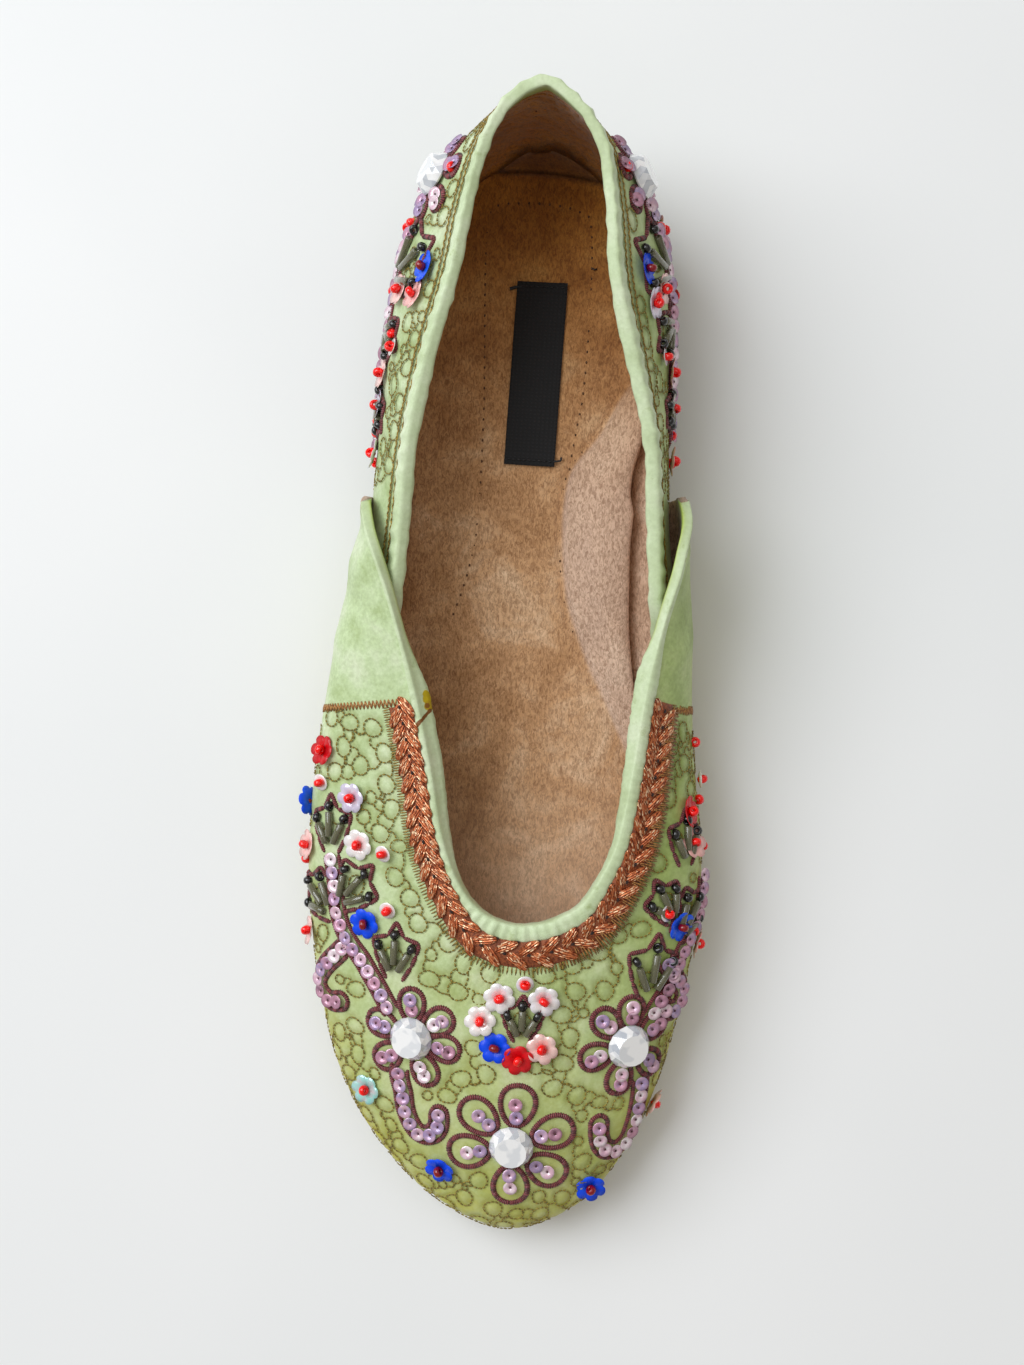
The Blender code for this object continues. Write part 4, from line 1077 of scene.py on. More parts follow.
braidDress = dict(
    span=(3.25, 19.0), overlap=0.25, width=6.0, pitch=3.7, base=0.34,
    strand=(6.0, 2.4, 0.9), turn=34, lean=-9,  # degrees
    # each row of strands: the strand it starts with, the way it turns, its place across the braid
    rows=((0, 1, 0.27), (1, -1, 0.73)),
    # holes, dark dashes of painted shade: the strand they start with, mm across the braid, height over the ground,
    # size
    holes=dict(braidNeedleHoles=(0, 3.0, 0.5, (1.05, 0.75, 0.3)), braidEdgeHoles=(1, 0.1, 0.35, (1.0, 0.7, 0.4))),
    comb=(2.3, 0.4, 0.3), combPitch=0.55, combStart=5.4,
    # towards the shoe's inner side the comb is longer and laps over the braid
    innerSpan=(13.0, 18.9), innerComb=(4.4, 0.42, 0.4), innerShare=0.85, innerFrom=3.5, innerTo=7.8,
    innerLift=0.35, overLift=1.8, underLift=-0.6, overFade=1.5,
    # seams that cover the joins of vamp and quarter, from the braid's ends down to the sole
    seams=dict(sideSeamLateral=(3.2, 6.5), sideSeamMedial=(16.0, 20.0)), seamHeights=(0.03, 0.9),
    seamY=-5.2, seamStitch=(2.3, 0.42, 0.4), seamPitch=0.5, seamTurn=14,
)


def besideBinding(ts, distance, lift=0.0):  # a line at so many mm beyond the throat binding's leg
    reach = np.arange(0.0, 16.0, 0.25)
    want = bindingSize(bindingDress["throat"], "leg", ts) + distance
    spots, facing = (np.stack([pointsAt(w, reach, row) for w, row in zip(want, rows)])
                     for rows in vamp.down(ts, reach))
    return spots + facing * lift * mm, facing


def sewBraid():
    b = braidDress
    ts = vamp.even(b["span"], b["pitch"] / 2)
    # woven ground under the strands
    fine = vamp.even(b["span"], 1.0)
    ring = ((0, 0.05), (0.2, b["base"]), (b["width"] / 2, b["base"]), (b["width"] - 0.2, b["base"]),
            (b["width"], 0.05), (b["width"] / 2, -0.2))
    spots = np.stack([besideBinding(fine, far - b["overlap"], off)[0] for far, off in ring], axis=1)
    bm = bmesh.new()
    closeTube(bm, gridPatch(bm, np.concatenate([spots, spots[:, :1]], axis=1)))
    finishPiece("braidGround", bm, [braidShade], ["throat_braid"])
    bm = bmesh.new()
    bmesh.ops.create_icosphere(bm, subdivisions=3, radius=0.5 * mm)
    bmesh.ops.scale(bm, vec=b["strand"], verts=bm.verts[:])
    places = []
    for side, turn, share in b["rows"]:
        spots, normals = besideBinding(ts, b["width"] * share - b["overlap"], b["base"] + 0.15)
        headings = np.gradient(spots, axis=0)
        for k in range(side, len(ts) - side, 2):
            swing = Matrix.Rotation(math.radians(turn * b["turn"]), 4, "Z")
            lean = Matrix.Rotation(math.radians(b["lean"]), 4, "Y")
            places.append(frameAt(spots[k], normals[k], headings[k]) @ swing @ lean)
    stampCopies("copperBraidStrands", bm, places, copper, [chance.uniform(0, 50) for _ in places])
    for name, (first, far, high, size) in b["holes"].items():
        spots, normals = besideBinding(ts[first::2], far - b["overlap"], b["base"] + high)
        dashes(name, spots, normals, np.gradient(spots, axis=0), size, braidHoleShade, "copper_braid")


def sewCombs():
    b = braidDress
    spots, normals = besideBinding(vamp.even(b["span"], b["combPitch"]), b["combStart"] + b["comb"][0] / 2)
    headings = np.cross(np.gradient(spots, axis=0), normals)
    dashes("overlockComb", spots, normals, headings, b["comb"], combThread, "copper_braid", 4)
    ts = vamp.even(b["innerSpan"], b["combPitch"] * b["innerShare"])
    over = smoothStep((ts - ts[0]) / b["overFade"])[:, None]
    near, normals = besideBinding(ts, b["innerFrom"], b["overLift"] * over + b["underLift"])
    far = besideBinding(ts, b["innerTo"], b["innerLift"])[0]
    dashes("overlockCombInner", (near + far) / 2, normals, far - near, b["innerComb"], copperThread,
           "copper_braid", 4)
    for name, span in b["seams"].items():
        fine = np.linspace(*span, 120)
        line = []
        for v in np.linspace(*b["seamHeights"], 60):
            row = vamp.grid(fine, [v])[:, 0]
            line.append(row[np.abs(row[:, 1] - b["seamY"] * mm).argmin()])
        spots, normals = skin.snapAll(evenly(line, b["seamPitch"]))
        headings = np.cross(np.gradient(spots, axis=0), normals)
        dashes(name, spots, normals, headings, b["seamStitch"], copperThread, "copper_braid", b["seamTurn"])


sewBraid()
sewCombs()
print("braid sewn")

cordDress = dict(ring=(1.3, 0.6), open=(1.1, 0.6), sharp=(1.1, 0.6), station=0.26, serration=0.2)  # width, height


def stitchCords():
    c = cordDress
    bm = bmesh.new()
    along = bm.verts.layers.float.new("along")  # mm along the run, for the turns of the thread
    for kind, line in plan["cords"]:
        half, high = c[kind][0] / 2, c[kind][1]
        ring = np.array([(-half, -0.05), (-half * 0.7, high * 0.6), (0, high), (half * 0.7, high * 0.6),
                         (half, -0.05), (0, -0.25)])
        spots, normals, headings = runOn(line, c["station"], kind == "sharp")
        if kind == "ring":
            headings[0] = headings[-1] = (spots[1] - spots[-2]) / np.linalg.norm(spots[1] - spots[-2])
        sides = np.cross(normals, headings)
        ripple = 1 + c["serration"] * np.where(np.arange(len(spots)) % 2, 1, -1)
        if kind == "ring":
            ripple[-1] = ripple[0]
        else:  # the ends of a run taper to a point
            ends = np.minimum(np.arange(len(spots)), np.arange(len(spots))[::-1]) * c["station"]
            ripple = ripple * (0.5 + 0.5 * smoothStep(ends / 0.7))
        grid = spots[:, None] + sides[:, None] * (ring[:, 0] * mm)[None, :, None] * ripple[:, None, None]
        grid = grid + normals[:, None] * (ring[:, 1] * mm)[None, :, None] * ripple[:, None, None]
        made = gridPatch(bm, np.concatenate([grid, grid[:, :1]], axis=1))
        for k, vert in enumerate(made):  # a grid counts along its first side first
            vert[along] = (k % len(spots)) * c["station"]
        closeTube(bm, made)
    finishPiece("plumSatinCords", bm, [plumThread])


stitchCords()
print("cords stitched")


def spunPiece(profile, steps):
    # A closed ring turned about Z from a closed profile of (radius, height) in mm.
    bm = bmesh.new()
    rim = [bm.verts.new((r * mm, 0, z * mm)) for r, z in profile]
    for a, b in zip(rim, rim[1:] + rim[:1]):
        bm.edges.new((a, b))
    bmesh.ops.spin(bm, geom=bm.verts[:] + bm.edges[:], cent=(0, 0, 0), axis=(0, 0, 1),
                   angle=math.tau, steps=steps, use_merge=True)
    bmesh.ops.remove_doubles(bm, verts=bm.verts[:], dist=0.001 * mm)
    bmesh.ops.recalc_face_normals(bm, faces=bm.faces[:])
    return bm


beadDress = dict(
    cup=((0.26, 0.30), (0.95, 0.28), (1.58, 0.66), (1.58, 0.76), (0.95, 0.40), (0.26, 0.42)),
    flower=((0.4, 0.55), (2.1, 0.64), (3.55, 1.05), (3.55, 1.15), (2.1, 0.76), (0.4, 0.67)),
    moon=((0.3, 0.7), (1.1, 0.7), (1.95, 1.0), (1.95, 1.1), (1.1, 0.82), (0.3, 0.82)),
    seed=((0.42, -0.55), (0.75, -0.8), (1.12, -0.5), (1.22, 0.0), (1.12, 0.5), (0.75, 0.8), (0.42, 0.55)),
    bugle=((0.38, -2.75), (0.74, -2.75), (0.88, -2.6), (0.88, 2.6), (0.74, 2.75), (0.38, 2.75)),
    bugleLength=5.5, bugleLift=0.75, lobes=6, lobeDepth=0.20, lobeDip=0.3, flowerRadius=3.3,
    standUp=0.45, cupTilt=(10, 9), cupLift=(0.1, 1.3), knotLift=0.36, knot=(0.62, 0.5, 0.4),
    seedTilt=(50, 35), looseLift=0.55, seedHole=0.8, heldLift=0.75,
)


def drawnTilt(most, axis):  # degrees about the axis, then about Y
    first, second = (math.radians(chance.uniform(-m, m)) for m in most)
    return Matrix.Rotation(first, 4, axis) @ Matrix.Rotation(second, 4, "Y")


def lyingPiece(profile):  # a bead whose hole runs along X
    bm = spunPiece(profile, 12)
    bmesh.ops.rotate(bm, cent=(0, 0, 0), matrix=Matrix.Rotation(math.radians(90), 3, "Y"), verts=bm.verts[:])
    return bm


def cutLobes(bm):  # six lobes with a crease between each two
    d = beadDress
    for vert in bm.verts:
        angle = math.atan2(vert.co.y, vert.co.x)
        share = min(1.0, math.hypot(vert.co.x, vert.co.y) / (d["flowerRadius"] * mm))
        notch = 1 - abs(math.cos(angle * d["lobes"] / 2)) ** 0.6
        vert.co.xy *= 1 - d["lobeDepth"] * notch * share**2
        vert.co.z -= d["lobeDip"] * mm * notch * share


def sewCups():
    d = beadDress
    places, tones, knots = [], [], []
    for spot, normal, heading in plan["sequins"]:
        tilt = drawnTilt(d["cupTilt"], "X")
        facing = (Vector(normal) + Vector((0, 0, d["standUp"]))).normalized()  # the thread pulls each one upright
        low, swing = d["cupLift"]
        place = frameAt(spot, facing, heading, lift=low + swing * math.sin(facing.angle(Vector(normal)))) @ tilt
        places.append(place)
        tones.append(chance.uniform(-0.3, 1.0))
        knots.append((place @ Vector((0, 0, d["knotLift"] * mm)), facing, heading))
    stampCopies("cupSequins", spunPiece(d["cup"], 16), places, shellPearl, tones)
    dashes("sequinThreads", *zip(*knots), d["knot"], knotThread, "embroidered_satin")


def sewBeads():
    d = beadDress
    seeds = dict(red=[(*seed, d["looseLift"]) for seed in plan["redSeeds"]], wine=[],
                 black=[(*seed, d["looseLift"]) for seed in plan["blackSeeds"]])
    for colour, film in films.items():
        places, tones = [], []
        for found, spot, normal, lean, side in plan["moons" if colour == "moon" else "flowers"]:
            if found != colour:
                continue
            heading = Matrix.Rotation(math.radians(side), 3, normal) @ normal.orthogonal()
            place = frameAt(spot, normal, heading) @ Matrix.Rotation(math.radians(-lean), 4, "Y")
            places.append(place)
            tones.append(chance.uniform(0.0, 0.7))
            turn = place.to_3x3()
            seeds["wine" if colour == "blue" else "red"].append(
                (place @ Vector((0, 0, d["seedHole"] * mm)), turn @ Vector((0, 0, 1)),
                 turn @ Vector((chance.uniform(-1, 1), 1, 0)), d["heldLift"]))
        if colour == "moon":
            bm = spunPiece(d["moon"], 20)
        else:
            bm = spunPiece(d["flower"], 36)
            cutLobes(bm)
        stampCopies(f"{colour}Sequins", bm, places, film, tones)
    for key, glass in seedGlass.items():
        places = []
        for spot, normal, heading, lift in seeds[key]:
            tilt = drawnTilt(d["seedTilt"], "Z")
            places.append(frameAt(spot, normal, heading, lift=lift) @ tilt)
        stampCopies(f"{key}SeedBeads", lyingPiece(d["seed"]), places, glass)
    places = []
    for (a, first), (b, second) in plan["bugles"]:
        length = (b - a).length / (d["bugleLength"] * mm)
        places.append(frameAt((a + b) / 2, first + second, b - a, (length, 1, 1), lift=d["bugleLift"]))
    stampCopies("smokeBugleBeads", lyingPiece(d["bugle"]), places, smokeGlass)


sewCups()
sewBeads()
print("beads and sequins sewn")

# running stitch round the rim by the sole: share of the height, mm between stitches
rimStitch = dict(height=0.075, pitch=1.35, size=(1.2, 0.4, 0.3), fromEnd=0.02)
# stitches of the back seam, seen inside the heel
backSeam = dict(row=9.05, heights=(0.42, 0.93), facedAt=0.7, pitch=1.5, size=(0.9, 0.4, 0.25), proud=0.05)


def sewQuilting():
    q, e, r = quiltShape, edgeStitch, rimStitch
    spots, normals, headings = zip(*plan["stitches"])
    dashes("quiltingStitches", spots, normals, headings, (q["stitch"] * 0.98, q["thread"], 0.3), goldThread,
           "embroidered_satin", 5)
    for name, below in edgeRows.items():
        spots, normals = edgeRow(below)
        headings = np.gradient(spots, axis=0)
        dashes(name, spots, normals, headings, e["size"], chainThread, "embroidered_satin", e["turn"])
    for name, panel in (("rimStitchFront", vamp), ("rimStitchBack", quarter)):
        ts = np.linspace(r["fromEnd"], panel.last - r["fromEnd"], 600)
        spots, normals = skin.snapAll(evenly(panel.grid(ts, [r["height"]])[:, 0], r["pitch"]))
        dashes(name, spots, normals, np.gradient(spots, axis=0), r["size"], goldThread, "embroidered_satin")


def seamLining():
    s = backSeam
    line = evenly(quarter.grid([s["row"]], np.linspace(*s["heights"], 40))[0], s["pitch"])
    facing = quarter.normals([s["row"]], [s["facedAt"]])[0, 0]
    spots = line - facing * (upperDress["wall"] + s["proud"]) * mm
    headings = np.gradient(line, axis=0)
    dashes("backSeamLining", spots, [-facing] * len(spots), headings, s["size"], suedeShade, "microsuede")


sewQuilting()
print("quilting sewn")
seamLining()

sockDress = dict(
    grid=(120, 270), crowd=0.35, thickness=lastShape["sockThickness"], gap=lastShape["gap"],
    # how far in from the feather line: the wall, more where vamp and quarter overlap, less at arch, waist, heel
    wall=lastShape["wall"], doubledInset=1.2, archReach=3.0, waistReach=1.6, heelReach=0.9,
    # stretches along Y: start, rise, end, fall
    doubled=(-12, 8, 56, 8), arch=(-26, 16, 84, 22), waist=(-14, 14, 66, 14), heelFrom=(110, 6),
    padRun=(-32, 30, 84, 26), grooveRun=(-26, 10, 70, 8), padLightRun=(-30, 14, 82, 22),
    # the pad: height of its first step and its rise, then the slope to its full height
    step=(1.3, 1.6), padHeight=4.5, padFrom=0.8, padSlope=9.5, padEdge=0.4, groove=0.5,
    # the cup, and the cove where the heel's lining comes down behind a bowed line
    cup=1.2, cupFrom=60, coveLine=(117.7, 0.009, -3), coveHeight=6.0, coveSlope=4.5,
    rim=0.6, rimEnd=(112, 8), prickPitch=2.4, prick=(0.3, 0.8), prickStitch=(0.75, 0.5, 0.18), prickSpan=(12, 66),
    # how strongly each is painted: light over the pad, shade along the heel's line and in its cove
    padLight=0.6, heelLine=0.85, inCove=0.9,
    # foot of the arch pad, from behind it to in front of it
    crease=((34.0, 80.0), (22.0, 68.0), (15.7, 57.3), (9.7, 49.5), (7.9, 41.4), (7.8, 32.3), (8.5, 23.1), (9.9, 16.4),
            (12.2, 10.1), (14.8, 3.5), (17.7, -2.2), (20.3, -8.0), (22.9, -13.5), (27.5, -22.8), (34.0, -34.0)),
    # the seam that holds the heel's foam
    heelSeam=((-17.2, 15.7), (-14.9, 22.1), (-13.3, 28.0), (-12.1, 34.3), (-11.3, 45.4), (-11.0, 56.5), (-10.9, 66.0),
              (-11.2, 78.1), (-11.5, 93.5), (-11.4, 104.0), (-10.6, 108.6), (-8.2, 110.1), (-3.6, 110.4),
              (1.0, 110.3), (6.2, 109.6), (10.2, 108.2), (12.4, 106.0), (13.0, 94.5), (12.6, 78.3),
              (11.8, 66.0), (10.7, 59.0), (9.6, 52.5)),
)


def footLoop():
    # Lateral and medial side of the feather line, each from toe to heel, moved in by the wall.
    s = sockDress
    front = vamp.guides(np.arange(1, 150) * vamp.last / 150)[0]
    back = quarter.guides(np.arange(151) * quarter.last / 150)[0]
    wingEnd = max(front[0, 1], front[-1, 1])
    loop = np.concatenate([front, back[back[:, 1] > wingEnd + 2]])[:, :2]
    run = np.roll(loop, -1, axis=0) - np.roll(loop, 1, axis=0)
    out = np.stack([run[:, 1], -run[:, 0]], axis=1) / np.linalg.norm(run, axis=1)[:, None]
    x, y = loop.T
    inset = s["wall"] + 1.5 * s["gap"] + s["doubledInset"] * within(y, *s["doubled"])
    inset = inset - s["archReach"] * within(y, *s["arch"]) * (x > 0)
    inset = inset - s["waistReach"] * within(y, *s["waist"]) * (x < 0)
    inset = inset - s["heelReach"] * smoothStep((y - s["heelFrom"][0]) / s["heelFrom"][1])
    loop = loop - out * inset[:, None]
    toe = loop[:, 1].argmin()
    loop = np.concatenate([loop[toe:], loop[:toe + 1]])
    heel = loop[:, 1].argmax()
    return [part[part[:, 1].argsort()] for part in (loop[heel:], loop[:heel + 1])]


padLine = smoothCurve(sockDress["crease"][::-1], 8)  # from the toe to the heel


def pastCrease(x, y):  # mm from the pad's crease, square to it
    slope = np.interp(y, padLine[:, 1], np.gradient(padLine[:, 0], padLine[:, 1]))
    return (x - np.interp(y, padLine[:, 1], padLine[:, 0])) * np.clip(np.cos(np.arctan(slope)), 0.4, 1)


def pastHeel(x, y):  # mm behind the line where the heel's lining comes down on the sock in a cove
    foot, bow, middle = sockDress["coveLine"]
    return y - foot + bow * (x - middle) ** 2


def sockTop(x, y, u=0.0):  # mm, in the last's own axes
    s = sockDress
    beyond, behind = pastCrease(x, y), pastHeel(x, y)
    first, rise = s["step"]
    pad = first * smoothStep(beyond / rise)
    pad = pad + (s["padHeight"] - first) * smoothStep((beyond - s["padFrom"]) / s["padSlope"])
    pad = pad * (1 - s["padEdge"] * u**6) * within(y, *s["padRun"])
    pad = pad - s["groove"] * bell(beyond + 0.5, 0.8) * within(y, *s["grooveRun"])
    cup = s["cup"] * u**6 * smoothStep(y / s["cupFrom"])
    cup = cup + s["coveHeight"] * smoothStep(behind / s["coveSlope"]) - s["groove"] * bell(behind + 0.2, 0.7)
    return soleTop(y) + s["gap"] + s["thickness"] + pad + cup


def onSock(x, y, up):  # metres: so many mm above the sock at a place in the last's own axes
    return Vector((x, y, float(sockTop(x, y)) + up)) * mm + Vector(shoeShift)


def sockPlace(lateral, medial, u, w):
    toe, heel = lateral[0, 1] + 0.3, lateral[-1, 1] - 0.3
    y = (toe + heel) / 2 + (heel - toe) / 2 * np.sin(w * math.pi / 2)
    left, right = np.interp(y, lateral[:, 1], lateral[:, 0]), np.interp(y, medial[:, 1], medial[:, 0])
    return (left + right) / 2 + (right - left) / 2 * u, y


def layPricks():
    # Needle holes of the seam that holds the heel's foam, and of the one along the pad's foot.
    s = sockDress
    low, high = s["prickSpan"]
    pad = padLine[(padLine[:, 1] > low) & (padLine[:, 1] < high)] - (0.5, 0)
    pricks = []
    for line in (smoothCurve(s["heelSeam"], 6), pad):
        line = evenly(np.column_stack([line, np.zeros(len(line))]) * mm, s["prickPitch"]) / mm
        pricks += [(x, y, 0) for x, y, _ in line]
    return pricks


def makeSock():
    s = sockDress
    lateral, medial = footLoop()
    pricks = layPricks()
    tree = treeOf(pricks)
    across, along = s["grid"]
    u, w = np.meshgrid(np.linspace(-1, 1, across + 1), np.linspace(-1, 1, along + 1), indexing="ij")
    u = np.sin(u * math.pi / 2) * s["crowd"] + u * (1 - s["crowd"])
    x, y = sockPlace(lateral, medial, u, w)
    z = sockTop(x, y, u) - s["rim"] * u**40 * smoothStep((s["rimEnd"][0] - y) / s["rimEnd"][1])
    near = np.array([tree.find((a, b, 0))[2] for a, b in zip(x.ravel(), y.ravel())]).reshape(x.shape)
    deep, wide = s["prick"]
    z = z - deep * bell(near, wide)
    z = z + 0.12 * np.sin(x * 0.35 + 1.3 * np.sin(y * 0.11)) * np.sin(y * 0.19 + 0.7)  # soft unevenness
    # painted light over the pad, painted shade along the line where the heel's lining comes down and in the cove
    # behind it
    painted = dict(
        padLight=smoothStep((pastCrease(x, y) + 0.4) / 1.3) * within(y, *s["padLightRun"]),
        heelLine=bell(pastHeel(x, y), 0.55), inCove=smoothStep(pastHeel(x, y) / 1.2),
    )
    bm = bmesh.new()
    layers = [(bm.verts.layers.float.new(key), amount * s[key]) for key, amount in painted.items()]
    for k, vert in enumerate(gridPatch(bm, np.stack([x, y, z], axis=2) * mm + shoeShift)):
        for layer, amount in layers:
            vert[layer] = amount[k % len(x), k // len(x)]
    top = set(bm.verts)
    bmesh.ops.extrude_face_region(bm, geom=bm.faces[:])
    for vert in bm.verts:  # the first layer of faces becomes the underside
        if vert in top:
            vert.co.z = (float(soleTop((vert.co.y - shoeShift[1]) / mm)) + s["gap"]) * mm + shoeShift[2]
    bmesh.ops.recalc_face_normals(bm, faces=bm.faces[:])
    sock = finishPiece("suedeSockPadded", bm, [suede], ["insole"])
    spots = [onSock(x, y, -0.2) for x, y, _ in pricks]
    dashes("sockNeedleHoles", spots, [Vector((0, 0, 1))] * len(spots), [Vector((0, 1, 0))] * len(spots),
           s["prickStitch"], suedeShade, "microsuede")


makeSock()
print("sock padded")

labelDress = dict(
    length=42, width=11.6, thickness=0.5, place=(0.9, 71), turn=-2.6, grid=(24, 84),
    lift=0.12, hem=2.2, hemLift=0.22, wave=0.10, tacks=9, tackSpan=0.82, tackIn=1.1, tackLift=0.95,
    tack=(1.1, 0.35, 0.3), tackTurn=12, tailsOver=(0, 71),
    # radius of each tail of thread; places along it, and how high it lies over the sock
    tails=((0.36, ((-2.8, 91.0, 0.6), (-4.2, 90.9, 0.5), (-5.0, 90.7, 0.45), (-5.7, 90.5, 0.4))),
           (0.24, ((5.6, 50.9, 0.5), (6.5, 51.0, 0.4), (7.2, 51.2, 0.35), (7.3, 51.9, 0.3))),
           (0.17, ((13.2, 95.4, 0.3), (13.7, 95.0, 0.4), (14.2, 95.3, 0.3)))),
)


def onLabel(across, along):  # a place on the turned label, in the last's own axes
    d = labelDress
    cos, sin = math.cos(math.radians(d["turn"])), math.sin(math.radians(d["turn"]))
    return d["place"][0] + across * cos - along * sin, d["place"][1] + across * sin + along * cos


def makeLabel():
    d = labelDress
    across = np.linspace(-1, 1, d["grid"][0] + 1)[:, None] * d["width"] / 2
    along = np.linspace(-1, 1, d["grid"][1] + 1)[None, :] * d["length"] / 2
    x, y = onLabel(across, along)
    hem = np.abs(along) > d["length"] / 2 - d["hem"]  # the short ends are folded under
    z = sockTop(x, y) + d["lift"] + d["hemLift"] * hem + d["wave"] * np.sin(y * 0.33) * np.cos(x * 0.4)
    bm = bmesh.new()
    gridPatch(bm, np.stack([x, y, z], axis=2) * mm + shoeShift)
    label = finishPiece("wovenLabelBare", bm, [labelWeave], ["label"])
    wall = label.modifiers.new("cloth", "SOLIDIFY")
    wall.thickness = d["thickness"] * mm
    wall.offset = 1
    spots = []
    for end in (-1, 1):
        for a in np.linspace(-d["tackSpan"], d["tackSpan"], d["tacks"]):
            x, y = onLabel(a * d["width"] / 2, end * (d["length"] / 2 - d["tackIn"]))
            spots.append(onSock(x, y, d["tackLift"]))
    turn = math.radians(d["turn"])
    headings = [Vector((math.cos(turn), math.sin(turn), 0))] * len(spots)
    dashes("labelTacks", spots, [Vector((0, 0, 1))] * len(spots), headings, d["tack"], labelThread, "woven_label",
           d["tackTurn"])


def looseThreads():  # tails of black thread: two at corners of the label, one that lies beside it
    d = labelDress
    z = float(sockTop(*d["tailsOver"]))
    bm = bmesh.new()
    for radius, tail in d["tails"]:
        line = smoothCurve([Vector((x, y, z + up)) * mm + Vector(shoeShift) for x, y, up in tail], 6)
        sides = np.cross((0, 0, 1), np.gradient(line, axis=0))
        sides /= np.linalg.norm(sides, axis=1)[:, None]
        ring = np.stack([line + radius * mm * (math.cos(a) * sides + math.sin(a) * np.array((0, 0, 1)))
                         for a in np.linspace(0, math.tau, 7)], axis=1)
        closeTube(bm, gridPatch(bm, ring))
    finishPiece("labelThreadTails", bm, [labelThread])


def blackWeave(name):
    # Damask-woven polyester tape: ribs of 0.42 mm across, a faint sheen, greyish where it has rubbed.
    material, tree, shader = newMaterial(name, Roughness=0.72, Sheen_Weight=0.3, Sheen_Roughness=0.5,
                                         Specular_IOR_Level=0.3)
    coords = addNode(tree, "TexCoord", {}, "Object")
    turned = addNode(tree, "Mapping", {
        "Vector": coords, "Rotation": (0, 0, -math.radians(labelDress["turn"]))})
    ribs = addNode(tree, "TexWave", {
        "Vector": turned, "Scale": 1000 / 0.42 / math.tau, "Distortion": 0.6, "Detail": 2.0,
    }, "Fac", bands_direction="Y")
    threads = addNode(tree, "TexWave", {
        "Vector": turned, "Scale": 1000 / 0.5 / math.tau, "Distortion": 0.4}, "Fac", bands_direction="X")
    weave = addNode(tree, "Math", {0: ribs, 1: threads}, operation="MULTIPLY")
    deep, rubbed = (addNode(tree, "ValToRGB", {"Fac": weave}, stops=((0.2, dark), (0.9, light)))
                    for dark, light in (("#08080A", "#121214"), ("#101012", "#1D1D20")))
    rubs = addNode(tree, "TexNoise", {"Vector": coords, "Scale": 1000 / 7, "Detail": 5.0, "Roughness": 0.65}, "Fac")
    color = addNode(tree, "Mix", {0: rubs, 6: deep, 7: rubbed}, 2, data_type="RGBA", blend_type="MIX")
    finishSurface(tree, shader, color, (weave, 0.6, 0.12))
    return material


labelWeave = blackWeave("blackPolyesterWoven")
makeLabel()
looseThreads()
print("label laid")

stoneDress = dict(
    facets=16, lift=0.35, heading=(0.3, 1, 0.2),
    # radius and height of each level, and its turn in facets, up to the table
    levels=((4.8, 0.0, 0), (5.0, 0.35, 0), (4.85, 0.75, 0), (4.15, 1.95, 0.5), (3.55, 2.9, 0)),
    foilRadius=4.8, foilTip=0.3, foilDepth=0.7, foilLift=0.48, foilInsets=(0.5, 1.9), foilDip=0.45, foilPeak=0.3,
)


def clearAcrylic(name, code):
    # Moulded acrylic over a foil back, polished, with sharp small highlights: its facets are painted white or grey as
    # lit or in shade, mottled by painted reflections.
    material, tree, shader = newMaterial(name, Roughness=0.05, IOR=1.49, Coat_Weight=1.0,
                                         Coat_Roughness=0.02, Specular_IOR_Level=0.8)
    coords = addNode(tree, "TexCoord", {}, "Object")
    spark = addNode(tree, "TexNoise", {"Vector": coords, "Scale": 1000 / 2.8, "Detail": 1.0, "Roughness": 0.4}, "Fac")
    sparkle = addNode(tree, "ValToRGB", {"Fac": spark}, stops=((0.40, "#D0D5DC"), (0.48, "#FFFFFF")))
    color = addNode(tree, "Mix", {0: 0.5, 6: code, 7: sparkle}, 2, data_type="RGBA", blend_type="MULTIPLY")
    finishSurface(tree, shader, color)
    return material


def silverFoil(name, dark, light):
    # Vacuum-coated back under the stone, pressed in facets: bright white, clouded with painted reflections, every
    # second facet painted greyer as in shade.
    material, tree, shader = newMaterial(name, Metallic=0.35, Roughness=0.3)
    coords = addNode(tree, "TexCoord", {}, "Object")
    cloud = addNode(tree, "TexNoise", {"Vector": coords, "Scale": 1000 / 2.2}, "Fac")
    finishSurface(tree, shader, addNode(tree, "ValToRGB", {"Fac": cloud}, stops=((0.35, dark), (0.65, light))))
    return material


acrylic = [clearAcrylic("clearAcrylicFaceted", "#FFFFFF"), clearAcrylic("clearAcrylicFacetInShade", "#D2D6DC")]
foil = [silverFoil("silverFoilBright", "#F2F4F8", "#FFFFFF"), silverFoil("silverFoilFacetInShade", "#B4BAC4", "#E4E8EE")]


def facetAngle(face):
    middle = face.calc_center_median()
    return math.degrees(math.atan2(middle.y, middle.x))


def facetedStone():
    d = stoneDress
    bm = bmesh.new()
    loops = []
    for radius, height, turn in d["levels"]:
        made = bmesh.ops.create_circle(bm, segments=d["facets"], radius=radius * mm)["verts"]
        turned = Matrix.Rotation(math.tau * turn / d["facets"], 3, "Z")
        bmesh.ops.rotate(bm, verts=made, cent=(0, 0, 0), matrix=turned)
        bmesh.ops.translate(bm, verts=made, vec=(0, 0, height * mm))
        loops.append([e for e in bm.edges if e.verts[0] in made and e.verts[1] in made])
    for a, b in zip(loops, loops[1:]):
        bmesh.ops.bridge_loops(bm, edges=a + b)
    bmesh.ops.holes_fill(bm, edges=loops[0] + loops[-1])
    bmesh.ops.triangulate(bm, faces=[f for f in bm.faces if len(f.verts) == 4])
    bmesh.ops.recalc_face_normals(bm, faces=bm.faces[:])
    for face in bm.faces:  # some of the small facets lie in shade
        face.material_index = int(len(face.verts) == 3 and facetAngle(face) % 45 < 18)
    return bm


